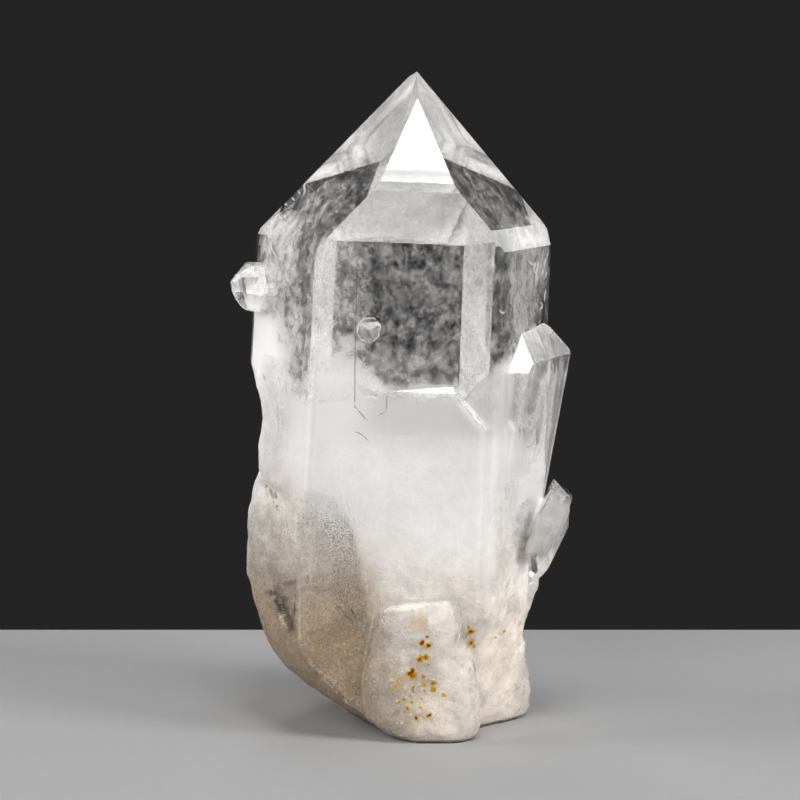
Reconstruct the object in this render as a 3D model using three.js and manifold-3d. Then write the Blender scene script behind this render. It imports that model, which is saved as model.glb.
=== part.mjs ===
// A clear quartz point: one natural crystal that stands upright on its broken foot.
//
// Everything is in millimetres, +Z up, seen from the front along +Y with +X to the right. Quartz is
// trigonal, so every crystal here is the space inside a set of flat facets whose angles are those of the
// mineral, and only their distances differ. The foot is broken and rough, so it is a rounded solid whose
// reach in each direction changes with height. All of it grew together and is joined in one solid.

import * as THREE from 'three';
import { ConvexGeometry } from 'three/addons/geometries/ConvexGeometry.js';
import { mergeVertices } from 'three/addons/utils/BufferGeometryUtils.js';
import Module from 'manifold-3d';

// The mineral's angles, in degrees. A prism facet is upright. A point facet leans in over it, and its
// normal rises this far above level. A shoulder facet is a steep one between the two.
const POINT_RISE = 38.21;
const SIDES = [0, 60, 120, 180, 240, 300];

// The main crystal: where its tip is, how its axis leans, and how far each facet lies from that tip.
// The azimuth of a facet is counted from the front towards +X.
const TIP = new THREE.Vector3(5, 0, 194.5);
const LEAN = { right: 2.32, forward: 0.4, turn: 2.26 };
const MAIN_LENGTH = 205;
const PRISM_REACH = { 0: 30.1, 60: 36.2, 120: 35, 180: 41.2, 240: 38.6, 300: 39.2 };
const PRISM_FLARE = { 0: 0, 60: 0.6, 120: 0.4, 180: 0, 240: 0.5, 300: 0.6 };
const POINT_REACH = { 0: 4.3, 60: 0, 120: 0, 180: 0, 240: 1.05, 300: 0 };
const SHOULDERS = [
  { side: 0, rise: 18, reach: 18.5 },
  { side: 60, rise: 23, reach: 14.45 },
  { side: 300, rise: 10, reach: 29.75 },
];
const NARROW_FACET = { side: 30, reach: 37.6 };

// The growth plate is the front of a block that is turned a little against the main crystal, so it
// stands proud of the front face by nothing on its left and by 2.5 mm on its right.
const PLATE = { turn: -4.9, front: 30.43, side: 37.1, pointFront: -32.2, pointSide: -33.2 };

// The upper side crystal is nearly parallel to the main one and narrows downwards.
const UPPER = {
  origin: new THREE.Vector3(40, -10, 121),
  lean: { right: 0.69, forward: 2.82, turn: -1.05 },
  prism: [[0, 0, 13.2], [60, -6, 6], [120, -10.3, 15.1], [180, 0, 16], [240, 0, 16], [300, 0, 16]],
  point: [[0, 2.7], [60, -2.2], [120, 5.2], [180, 6], [240, 4], [300, 4]],
  length: 84,
};

// The lower side crystal leans outwards and is pointed at both ends. An edge of it faces the front.
const LOWER = {
  origin: new THREE.Vector3(44.8, -6.5, 60.2),
  lean: { right: 26, forward: -4, turn: 0 },
  facets: [
    [30, 0, 5.5], [90, 0, 4.6], [150, 0, 5.8], [210, 0, 6.3], [270, 0, 5], [330, 0, 6],
    [90, 26, 5.1], [90, 68, 10.1], [330, 40, 11], [30, 42, 11.4], [210, 38, 11.2], [150, 38, 10.2],
    [90, -12.3, 6.9], [30, -38, 12.5], [330, -38, 11], [150, -38, 12.5], [270, -26, 6.6],
  ],
};

// The shoulder crystal points left and towards the front, and its tip is blunt.
const SHOULDER = {
  origin: new THREE.Vector3(-51.4, -14.5, 132.6),
  lean: { right: -86, forward: 0, turn: 22 },
  swing: 34,
  prism: 6.6,
  point: [-1.3, 0.3, -0.6, -1.6, 0.4, -0.4],
  length: 19,
};

// The tiny crystal on the front face points out at the viewer.
const TINY = {
  origin: new THREE.Vector3(-8.5, -34.4, 121.9),
  lean: { right: 3, forward: 84, turn: 8 },
  prism: 3.3,
  point: [-0.3, -0.9, 0, -0.6, 0.1, -0.7],
  length: 7,
};

// Where the foot is broken, it reaches this far from the upright through the origin in each
// direction (degrees from +X towards the back), as pairs of height and reach. Past FREE the break
// lies outside the crystal, whose own faces show.
const FREE = 75;
const FOOT = {
  middle: new THREE.Vector2(0, 0),
  bottom: -2,
  top: 122,
  sectors: 80,
  levels: 46,
  guides: [
    { towards: 180, reach: [[0, 15], [4, 19.5], [8, 25], [13, 30.5], [19, 36], [27, 40.2], [36, 43.6],
      [45, 46], [60, 46.7], [69, 44.6], [76, 41.5], [86, 41.3], [93.5, 40.2], [100, 41.8], [108, 44],
      [113, 45], [118, FREE]] },
    { towards: 207, reach: [[0, 11], [3, 15.3], [7, 21.3], [13, 29.3], [19, 35.3], [27, 39.5], [36, 43],
      [45, FREE]] },
    { towards: 212, reach: [[25, 42], [32, 41], [40, 40.5], [60, 39.9], [71, 39.3], [78, 41], [82, FREE]] },
    { towards: 150, reach: [[8, 33], [18, 38], [32, 40], [42, 41.5], [52, FREE]] },
    { towards: 225, reach: [[0, 17.5], [3, 23.3], [7, 27.3], [10.4, 30.5], [14, 33.3], [18, 36], [24, 41],
      [32, 46], [40, FREE]] },
    { towards: 270, reach: [[0, 28], [4, 30], [12, FREE]] },
    { towards: 315, reach: [[0, 26], [5, 27.6], [15, 29.6], [25, 32], [34, 35.5], [42, 39.5], [48, FREE]] },
    { towards: 0, reach: [[0, 36.8], [1.5, 39.2], [3, 39.6], [6.3, 38.5], [20, 37.9], [24, 36.9],
      [27.5, 36.6], [33, 38.2], [39, 41.2], [44, 44], [50, FREE]] },
    { towards: 45, reach: [[0, 32], [6, 33.5], [18, 35], [30, 37], [42, 41], [52, FREE]] },
    { towards: 90, reach: [[0, 31], [5, 33.5], [16, 37], [28, 39.6], [38, 43], [46, FREE]] },
    { towards: 135, reach: [[0, 27], [6, 32], [14, 36.5], [24, 39.8], [34, 42], [42, FREE]] },
  ],
  grain: { depth: 0.42, seed: 0.7 },
  sharpness: 36,
};

// The front lobe: the stump of a neighbour that broke off, proud of the front face, with a ledge on top.
const FRONT_LOBE = {
  middle: new THREE.Vector2(9, -14),
  bottom: -2,
  top: 43,
  crest: 0.12,
  sectors: 56,
  levels: 20,
  guides: [
    { towards: 180, reach: [[0, 11], [3, 14.9], [7, 19], [12, 20.6], [20, 20.6], [28, 19], [33.5, 17.6],
      [37, 15.2], [41, 14], [43, 11]] },
    { towards: 225, reach: [[0, 15.5], [3, 20], [7, 23.6], [12, 26.2], [20, 27], [43, 22]] },
    { towards: 270, reach: [[0, 18], [2, 19], [10, 18.9], [20, 18.4], [30, 17.9], [38, 17.4], [41, 16.8],
      [43, 14]] },
    { towards: 315, reach: [[0, 18.7], [4, 20.8], [20, 19.8], [43, 15.5]] },
    { towards: 0, reach: [[0, 12.7], [1.5, 13.9], [4, 14.4], [10, 14], [24, 12.6], [30, 10.6], [37, 8.8],
      [43, 7.4]] },
    { towards: 90, reach: [[0, 12], [43, 12]] },
  ],
  grain: { depth: 0.26, seed: 2.1 },
  sharpness: 20,
};

// The left bulge: a low overgrowth on the front left face. Its radii run along the face, out of it and
// upwards.
const LEFT_BULGE = {
  middle: [-35.1, -9.2, 58],
  radii: [15, 8, 20],
  turn: 300,
  step: 2.1,
  grain: { depth: 0.2, seed: 4.4 },
};

// A wedge-shaped pit low on the left, where a splinter broke out.
const PIT = [[-43, -22, 45], [-28.5, -37, 54], [-28.5, -37, 36], [-35.6, -31, 24.5],
  [-36.8, -13.5, 43], [-33.2, -19, 35.5], [-31, -21.5, 46]];

// Shallow shells that spalled off: the middle and radius of the ball that each follows.
const SHELLS = [
  { middle: [-31, -118, 53], radius: 90.5, seed: 1.3 },
  { middle: [-78, -50, 46], radius: 45.5, seed: 3.1 },
  { middle: [70, -62, 22], radius: 57.5, seed: 5.2 },
  { middle: [20, 123.5, 30], radius: 85, seed: 2.2 },
];
const SHELL_STEP = 2.6;
const SHELL_DEPTH = 0.12;

// Along a ball, one turn of the waves in its skin takes 2 pi times this.
const BALL_WAVE = 12;

// The ground cuts the foot off flat. Above the foot's rough solid nothing is broken, and OVERLAP joins
// the two spaces.
const GROUND_SIZE = 300;
const GROUND_DEPTH = 40;
const OVERLAP = 4;

// The waves in a rough skin: the turns each makes around it, its rise per millimetre of height, its
// shift, and its share of the depth.
const WAVES = [[3, 0.11, 0.4, 1], [5, -0.23, 1.9, 0.62], [8, 0.31, 4.1, 0.45], [13, 0.52, 2.6, 0.36],
  [17, -0.71, 5.2, 0.29]];

// Corners closer together than this are one corner, in millimetres.
const MERGE = 1e-4;
const SAME_CORNER = 1e-3;
const ON_FACET = 1e-6;
const NEARLY_PARALLEL = 1e-5;

const radians = THREE.MathUtils.degToRad;

// The plane of one facet. Its normal points along the azimuth and rises above level.
function facet(azimuth, rise, reach) {
  const a = radians(azimuth);
  const r = radians(rise);
  const normal = new THREE.Vector3(Math.cos(r) * Math.sin(a), -Math.cos(r) * Math.cos(a), Math.sin(r));
  return new THREE.Plane(normal, -reach);
}

// The corner where three planes meet, or null where they never do.
function corner(a, b, c) {
  const span = a.normal.dot(b.normal.clone().cross(c.normal));
  if (Math.abs(span) < NEARLY_PARALLEL) return null;
  const sum = new THREE.Vector3();
  for (const [one, next, last] of [[a, b, c], [b, c, a], [c, a, b]]) {
    sum.addScaledVector(next.normal.clone().cross(last.normal), -one.constant);
  }
  return sum.divideScalar(span);
}

// The closed solid inside a set of facets: the corners of every three planes that no other cuts off.
function crystal(facets, placement) {
  const corners = [];
  for (let i = 0; i < facets.length; i += 1) {
    for (let j = i + 1; j < facets.length; j += 1) {
      for (let k = j + 1; k < facets.length; k += 1) {
        const point = corner(facets[i], facets[j], facets[k]);
        const kept = point && facets.every((plane) => plane.distanceToPoint(point) < ON_FACET);
        if (kept && !corners.some((other) => other.distanceTo(point) < SAME_CORNER)) corners.push(point);
      }
    }
  }
  return solid(new ConvexGeometry(corners).applyMatrix4(placement));
}

// A placement: the crystal's own origin goes to a point, its axis leans right and forward, and it turns.
function placed(origin, { right = 0, forward = 0, turn = 0 }) {
  const lean = new THREE.Matrix4().makeRotationY(radians(right));
  lean.multiply(new THREE.Matrix4().makeRotationX(radians(forward)));
  lean.multiply(new THREE.Matrix4().makeRotationZ(radians(turn)));
  return lean.setPosition(origin);
}

const wasm = await Module();
wasm.setup();

// A closed three.js geometry as a solid that can be joined and cut.
function solid(geometry) {
  const bare = geometry.clone();
  bare.deleteAttribute('normal');
  bare.deleteAttribute('uv');
  const merged = mergeVertices(bare, MERGE);
  return new wasm.Manifold(new wasm.Mesh({
    numProp: 3,
    vertProperties: new Float32Array(merged.attributes.position.array),
    triVerts: new Uint32Array(merged.index.array),
  }));
}

// The value at a height, between the pairs of height and value that a list gives.
function along(list, height) {
  if (height <= list[0][0]) return list[0][1];
  const next = list.findIndex(([h]) => h >= height);
  if (next < 0) return list[list.length - 1][1];
  const [[lowH, low], [highH, high]] = [list[next - 1], list[next]];
  return THREE.MathUtils.lerp(low, high, (height - lowH) / (highH - lowH));
}

// Broken quartz is wavy: shallow shells and ribs of a few sizes, as a sum of slow waves.
function ripple(heading, height, grain) {
  const heave = WAVES.reduce((sum, [turns, rise, shift, share]) => (
    sum + share * Math.sin(turns * heading + rise * height + shift + grain.seed)), 0);
  return grain.depth * heave;
}

// A rough upright solid. In each direction of its guides it reaches as far as their lists say, and
// between them its sections are polygons with rounded corners. More sharpness rounds them less, and a
// crest makes the top climb towards +X.
function roughSolid({ middle, guides, bottom, top, sectors, levels, grain, sharpness, crest = 0 }) {
  const skin = mergeVertices(withoutSeams(new THREE.CylinderGeometry(1, 1, 1, sectors, levels)), MERGE);
  skin.rotateX(Math.PI / 2);
  const position = skin.attributes.position;
  for (let i = 0; i < position.count; i += 1) {
    const height = THREE.MathUtils.lerp(bottom, top, position.getZ(i) + 0.5);
    const heading = Math.atan2(position.getY(i), position.getX(i));
    const share = Math.hypot(position.getX(i), position.getY(i));
    let sum = 0;
    for (const { towards, reach } of guides) {
      const facing = Math.cos(heading - radians(towards));
      if (facing > 0) sum += (facing / along(reach, height)) ** sharpness;
    }
    const reach = share * (sum ** (-1 / sharpness) + ripple(heading, height, grain));
    const east = reach * Math.cos(heading);
    const lift = crest * east * Math.max(0, height / top);
    position.setXYZ(i, middle.x + east, middle.y + reach * Math.sin(heading), height + lift);
  }
  return solid(skin);
}

function withoutSeams(geometry) {
  geometry.deleteAttribute('normal');
  geometry.deleteAttribute('uv');
  return geometry;
}

// The main crystal, with the steep facets at its shoulders and the narrow one beside its front face.
function mainCrystal() {
  const facets = SIDES.flatMap((side) => [
    facet(side, PRISM_FLARE[side], PRISM_REACH[side]),
    facet(side, POINT_RISE, POINT_REACH[side]),
  ]);
  SHOULDERS.forEach(({ side, rise, reach }) => facets.push(facet(side, rise, reach)));
  facets.push(facet(NARROW_FACET.side, 0, NARROW_FACET.reach));
  facets.push(facet(0, -90, MAIN_LENGTH));
  return crystal(facets, placed(TIP, LEAN));
}

// The growth plate: the front part of a block that shares the main crystal's axis.
function growthPlate() {
  const facets = [
    facet(0, 0, PLATE.front),
    facet(0, POINT_RISE, PLATE.pointFront),
    facet(60, 0, PLATE.side),
    facet(60, POINT_RISE, PLATE.pointSide),
    facet(180, 0, 0),
    facet(300, 0, PLATE.side),
    facet(0, -90, MAIN_LENGTH),
  ];
  return crystal(facets, placed(TIP, { ...LEAN, turn: LEAN.turn + PLATE.turn }));
}

function upperCrystal() {
  const facets = UPPER.prism.map(([side, flare, reach]) => facet(side, flare, reach));
  UPPER.point.forEach(([side, reach]) => facets.push(facet(side, POINT_RISE, reach)));
  facets.push(facet(0, -90, UPPER.length));
  return crystal(facets, placed(UPPER.origin, UPPER.lean));
}

function lowerCrystal() {
  const facets = LOWER.facets.map(([side, rise, reach]) => facet(side, rise, reach));
  return crystal(facets, placed(LOWER.origin, LOWER.lean));
}

// A small crystal with one prism width and its tip at its origin.
function smallCrystal({ origin, lean, prism, point, length, swing = 0 }) {
  const facets = SIDES.flatMap((side, i) => [
    facet(side, 0, prism),
    facet(side, POINT_RISE, point[i]),
  ]);
  facets.push(facet(0, -90, length));
  const swung = new THREE.Matrix4().makeRotationZ(radians(swing));
  const placement = new THREE.Matrix4().setPosition(origin);
  return crystal(facets, placement.multiply(swung).multiply(placed(new THREE.Vector3(), lean)));
}

// A ball, stretched along its own three directions and a little uneven, in triangles of about the step.
function unevenBall({ middle, radii, turn = 0, step, grain }) {
  const stretch = new THREE.Vector3(...radii);
  const sectors = Math.round(2 * Math.PI * Math.max(...radii) / step);
  const rings = Math.round(sectors / 2);
  const ball = mergeVertices(withoutSeams(new THREE.SphereGeometry(1, sectors, rings)), MERGE);
  ball.rotateX(Math.PI / 2);
  const position = ball.attributes.position;
  for (let i = 0; i < position.count; i += 1) {
    const outward = new THREE.Vector3().fromBufferAttribute(position, i);
    const point = outward.clone().multiply(stretch);
    const wave = ripple(point.x / BALL_WAVE, point.z + point.y, grain);
    point.addScaledVector(outward, wave);
    position.setXYZ(i, point.x, point.y, point.z);
  }
  return solid(ball.rotateZ(radians(turn)).translate(...middle));
}

function shellBall({ middle, radius, seed }) {
  const grain = { depth: SHELL_DEPTH, seed };
  return unevenBall({ middle, radii: [radius, radius, radius], step: SHELL_STEP, grain });
}

// Everything grown together: the crystals that the break cuts off, then what stands outside it.
function quartzPoint() {
  const ground = solid(new THREE.BoxGeometry(GROUND_SIZE, GROUND_SIZE, GROUND_DEPTH)
    .translate(0, 0, -GROUND_DEPTH / 2));
  const pit = solid(new ConvexGeometry(PIT.map((point) => new THREE.Vector3(...point))));
  const broken = roughSolid(FOOT).add(solid(new THREE.BoxGeometry(GROUND_SIZE, GROUND_SIZE, GROUND_SIZE)
    .translate(0, 0, FOOT.top - OVERLAP + GROUND_SIZE / 2)));
  return mainCrystal().add(growthPlate()).add(upperCrystal())
    .intersect(broken)
    .subtract(wasm.Manifold.union(SHELLS.map(shellBall)))
    .subtract(pit)
    .add(roughSolid(FRONT_LOBE))
    .add(unevenBall(LEFT_BULGE))
    .add(lowerCrystal())
    .add(smallCrystal(SHOULDER))
    .add(smallCrystal(TINY))
    .subtract(ground);
}

// A solid back as a three.js geometry, moved so that it stands on its own middle.
function standing(manifold) {
  const { vertProperties, triVerts } = manifold.getMesh();
  const geometry = new THREE.BufferGeometry();
  geometry.setAttribute('position', new THREE.BufferAttribute(vertProperties, 3));
  geometry.setIndex(new THREE.BufferAttribute(triVerts, 1));
  geometry.computeBoundingBox();
  const { min, max } = geometry.boundingBox;
  return geometry.translate(-(min.x + max.x) / 2, -(min.y + max.y) / 2, -min.z);
}

const quartz = new THREE.MeshStandardMaterial({ color: 0xe6e3dd, roughness: 0.12, metalness: 0 });
const point = new THREE.Mesh(standing(quartzPoint()), quartz);
point.name = 'quartz_point';

const part = new THREE.Group();
part.add(point);
export default part;
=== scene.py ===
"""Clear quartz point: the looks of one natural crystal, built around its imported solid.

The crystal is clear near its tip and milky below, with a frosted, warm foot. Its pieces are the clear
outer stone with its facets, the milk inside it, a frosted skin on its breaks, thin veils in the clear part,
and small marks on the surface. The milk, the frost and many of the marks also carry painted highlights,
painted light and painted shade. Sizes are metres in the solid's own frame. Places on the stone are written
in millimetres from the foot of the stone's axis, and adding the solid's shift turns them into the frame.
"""

import logging
import math
from dataclasses import dataclass
from enum import Enum

import bmesh
import bpy
import numpy as np
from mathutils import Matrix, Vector
from mathutils.bvhtree import BVHTree


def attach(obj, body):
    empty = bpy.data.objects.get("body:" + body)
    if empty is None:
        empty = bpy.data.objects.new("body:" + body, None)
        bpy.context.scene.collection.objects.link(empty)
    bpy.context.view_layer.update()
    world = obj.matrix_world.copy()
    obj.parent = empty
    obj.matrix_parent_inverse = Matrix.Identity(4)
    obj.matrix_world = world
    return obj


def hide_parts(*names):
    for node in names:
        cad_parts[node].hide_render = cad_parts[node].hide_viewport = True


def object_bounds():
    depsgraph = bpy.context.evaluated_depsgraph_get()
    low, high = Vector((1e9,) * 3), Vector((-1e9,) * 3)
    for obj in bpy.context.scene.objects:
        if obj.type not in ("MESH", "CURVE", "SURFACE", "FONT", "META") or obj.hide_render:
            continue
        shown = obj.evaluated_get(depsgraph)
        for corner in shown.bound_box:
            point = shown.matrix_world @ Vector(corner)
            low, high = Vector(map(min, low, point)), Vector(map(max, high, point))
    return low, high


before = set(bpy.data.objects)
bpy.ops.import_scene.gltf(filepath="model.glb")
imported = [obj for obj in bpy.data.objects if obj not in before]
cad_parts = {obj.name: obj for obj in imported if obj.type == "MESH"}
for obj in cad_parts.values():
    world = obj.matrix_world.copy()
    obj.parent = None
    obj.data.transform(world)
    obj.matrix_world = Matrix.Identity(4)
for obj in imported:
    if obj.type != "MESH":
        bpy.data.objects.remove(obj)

Colour = tuple[float, float, float, float]
Place = tuple[float, float, float]

log = logging.getLogger("quartz_point")
MM = 0.001
NODE = "quartz_point"
BODY = "root"
CAD_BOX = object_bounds()
CORNERS = np.array(CAD_BOX[0]), np.array(CAD_BOX[1])
TINY = 1e-12

# The tip in stone millimetres, and how far under the solid's top a corner may be to count as the tip.
TIP_ON_AXIS = np.array([5.0, 0.0, 194.5])
TIP_LEVEL = 0.2

# How far each finer grid of the noise is shifted, in steps of its own.
OCTAVE_SHIFT = 17.3


class Socket(Enum):
    """The kinds of socket that a node group's inputs and outputs have."""

    NUMBER = "NodeSocketFloat"
    VECTOR = "NodeSocketVector"
    COLOUR = "NodeSocketColor"


def read(items: bpy.types.bpy_prop_collection, name: str, width: int, kind: type = float) -> np.ndarray:
    """One property of many items of a mesh.

    Args:
        items: the mesh's points, edges, triangles or such.
        name: the property.
        width: how many numbers each item has.
        kind: what the numbers are.

    Returns:
        An array of shape (items, width).
    """
    flat = np.zeros(len(items) * width, kind)
    items.foreach_get(name, flat)
    return flat.reshape(-1, width)


def keep(mesh: bpy.types.Mesh, marks: dict[str, np.ndarray]) -> None:
    """Writes numbers for each point into a mesh under their names, where the finish reads them."""
    for mark, values in marks.items():
        mesh.attributes.new(mark, "FLOAT", "POINT").data.foreach_set("value", values.astype(np.float32))


def placed(name: str, data: bpy.types.ID) -> bpy.types.Object:
    """A new object with this data, in the scene and at the origin.

    Args:
        name: the object's name.
        data: its mesh, light or camera.

    Returns:
        The object.
    """
    made = bpy.data.objects.new(name, data)
    bpy.context.scene.collection.objects.link(made)
    return made


def wrapped_quads(rings: int, sectors: int) -> np.ndarray:
    """The four points of each face between rings of points, each ring closed, shape (faces, 4).

    Args:
        rings: how many rings.
        sectors: how many points each has.

    Returns:
        The numbers of each face's points.
    """
    low = np.arange((rings - 1) * sectors).reshape(-1, sectors)
    side = np.roll(low, -1, 1)
    return np.stack([low, side, side + sectors, low + sectors], 2).reshape(-1, 4)


@dataclass(frozen=True)
class Triangles:
    """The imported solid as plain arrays, in metres.

    Fields:
        corners: each triangle's three corners, shape (triangles, 3, 3).
        shift: what turns a place in millimetres from the stone's axis foot into the frame, in metres.
    """

    corners: np.ndarray
    shift: np.ndarray

    @classmethod
    def of_node(cls, node: bpy.types.Object) -> "Triangles":
        """Reads a CAD node. The stone's tip is the rightmost corner that is about as high as its top.

        Args:
            node: the part's node in the frame.

        Returns:
            The solid's triangles.
        """
        mesh = node.data
        co = read(mesh.vertices, "co", 3)
        mesh.calc_loop_triangles()
        index = read(mesh.loop_triangles, "vertices", 3, int)
        high = co[co[:, 2] > co[:, 2].max() - TIP_LEVEL * MM]
        tip = high[high[:, 0].argmax()]
        return cls(co[index], tip - TIP_ON_AXIS * MM)

    def from_stone(self, point: Place) -> np.ndarray:
        """A place in millimetres from the stone's axis foot, in the frame."""
        return np.array(point) * MM + self.shift

    def reach(self, height: float, middle: np.ndarray, headings: np.ndarray) -> np.ndarray:
        """How far the solid reaches at one height.

        The plane at that height cuts the triangles in straight pieces. Along each heading from the middle,
        the reach is the distance to the first piece that the heading crosses.

        Args:
            height: the plane's height in metres.
            middle: x and y that the headings start from.
            headings: angles from +X towards +Y.

        Returns:
            One distance in metres for each heading.
        """
        above = self.corners[:, :, 2] - height
        cut = self.corners[(above.min(1) < 0) & (above.max(1) > 0)]
        lift = cut[:, :, 2] - height
        ends = []
        for a, b in ((0, 1), (1, 2), (2, 0)):
            share = lift[:, a] / np.where(lift[:, a] == lift[:, b], 1.0, lift[:, a] - lift[:, b])
            point = cut[:, a, :2] + share[:, None] * (cut[:, b, :2] - cut[:, a, :2])
            ends.append(np.where((lift[:, a] * lift[:, b] < 0)[:, None], point, np.nan))
        stack = np.stack(ends, 1)
        order = np.argsort(np.isnan(stack[:, :, 0]), axis=1, kind="stable")[:, :2]
        pair = np.take_along_axis(stack, order[:, :, None], 1)
        start = pair[:, 0] - middle
        along = pair[:, 1] - pair[:, 0]
        ray = np.stack([np.cos(headings), np.sin(headings)], 1)
        cross = ray[:, None, 0] * along[None, :, 1] - ray[:, None, 1] * along[None, :, 0]
        cross = np.where(np.abs(cross) < TINY, TINY, cross)
        away = (start[:, 0] * along[:, 1] - start[:, 1] * along[:, 0])[None] / cross
        share = (start[None, :, 0] * ray[:, None, 1] - start[None, :, 1] * ray[:, None, 0]) / cross
        met = (share >= -1e-4) & (share <= 1 + 1e-4) & (away > 0)
        away = np.where(met, away, np.inf)
        first = away.min(1)
        known = np.isfinite(first)
        return np.interp(np.arange(len(headings)), np.flatnonzero(known), first[known])


def smooth(low: float, high: float, value: np.ndarray) -> np.ndarray:
    """Rises from 0 at low to 1 at high, level at both ends: t squared times (3 minus 2 t)."""
    t = np.clip((value - low) / (high - low), 0, 1)
    return t * t * (3 - 2 * t)


def lattice(cells: np.ndarray, seed: int) -> np.ndarray:
    """A number from -1 to 1 for each whole-numbered cell, scattered by multiplying and folding its bits.

    Args:
        cells: cells, shape (..., 3).
        seed: picks another pattern.

    Returns:
        One number for each cell.
    """
    mixed = cells[..., 0] * 73856093 ^ cells[..., 1] * 19349663 ^ cells[..., 2] * 83492791 ^ seed * 2654435
    mixed = (mixed ^ (mixed >> 13)) * 1274126177
    return ((mixed ^ (mixed >> 16)) & 0xFFFF) / 32767.5 - 1


def rough(points: np.ndarray, wave: float, seed: int, octaves: int = 3) -> np.ndarray:
    """Value noise: numbers at the corners of a grid of cubes, blended inside them, in ever finer grids.

    Args:
        points: places in metres, shape (..., 3).
        wave: the widest grid's step in metres. Each finer grid has half the step and half the strength.
        seed: picks another pattern.
        octaves: how many grids.

    Returns:
        One number of about -1 to 1 for each point.
    """
    total = np.zeros(points.shape[:-1])
    for octave in range(octaves):
        place = points / wave * 2**octave + OCTAVE_SHIFT * octave
        cell = np.floor(place).astype(np.int64)
        t = place - cell
        t = t * t * (3 - 2 * t)
        value = np.zeros(points.shape[:-1])
        for corner in np.ndindex(2, 2, 2):
            step = np.array(corner)
            weight = np.where(step, t, 1 - t).prod(-1)
            value += weight * lattice(cell + step, seed + octave)
        total += value / 2**octave
    return total / (2 - 0.5 ** (octaves - 1))


def break_relief(points: np.ndarray) -> np.ndarray:
    """How far the breaks go out or in at places in metres, in metres.

    A slow noise's distance from zero, turned over, gives sharp crests where that noise crosses zero. Finer
    noise roughens them, most at the ragged rim on the right, which is notched as well.

    Args:
        points: places, shape (..., 3).

    Returns:
        One distance for each, more than 0 for outwards.
    """
    crests = np.maximum(0.5 - 2.2 * np.abs(rough(points, 0.0065, 3, 2)), -0.6)
    rim = smooth(0.026, 0.034, points[..., 0])
    notches = 0.0009 * rim * rough(points, 0.0046, 9, 2)
    return 0.00030 * crests + (0.00026 + 0.00050 * rim) * rough(points, 0.0021, 4, 3) + notches


def shell(name: str, rings: np.ndarray, marks: dict[str, np.ndarray]) -> bpy.types.Object:
    """A closed surface from rings of points, the first and last of which are shut by a fan.

    Args:
        name: the piece's name.
        rings: points of shape (rings, sectors, 3), from bottom to top, running from +X towards +Y.
        marks: named numbers for each point, shape (rings, sectors), which the finish reads.

    Returns:
        The new object, with its place in its mesh.
    """
    levels, sectors, _ = rings.shape
    poles = np.stack([rings[0].mean(0), rings[-1].mean(0)])
    points = np.concatenate([rings.reshape(-1, 3), poles])
    quads = wrapped_quads(levels, sectors)
    around = np.arange(sectors)
    after = np.roll(around, -1)
    last = (levels - 1) * sectors
    floor_fan = np.stack([after, around, np.full(sectors, levels * sectors)], 1)
    roof_fan = np.stack([around + last, after + last, np.full(sectors, levels * sectors + 1)], 1)
    mesh = bpy.data.meshes.new(name)
    mesh.from_pydata(points.tolist(), [], quads.tolist() + floor_fan.tolist() + roof_fan.tolist())
    mesh.shade_smooth()
    ends = {mark: [values[0].mean(), values[-1].mean()] for mark, values in marks.items()}
    keep(mesh, {mark: np.concatenate([values.ravel(), ends[mark]]) for mark, values in marks.items()})
    return placed(name, mesh)


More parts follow.
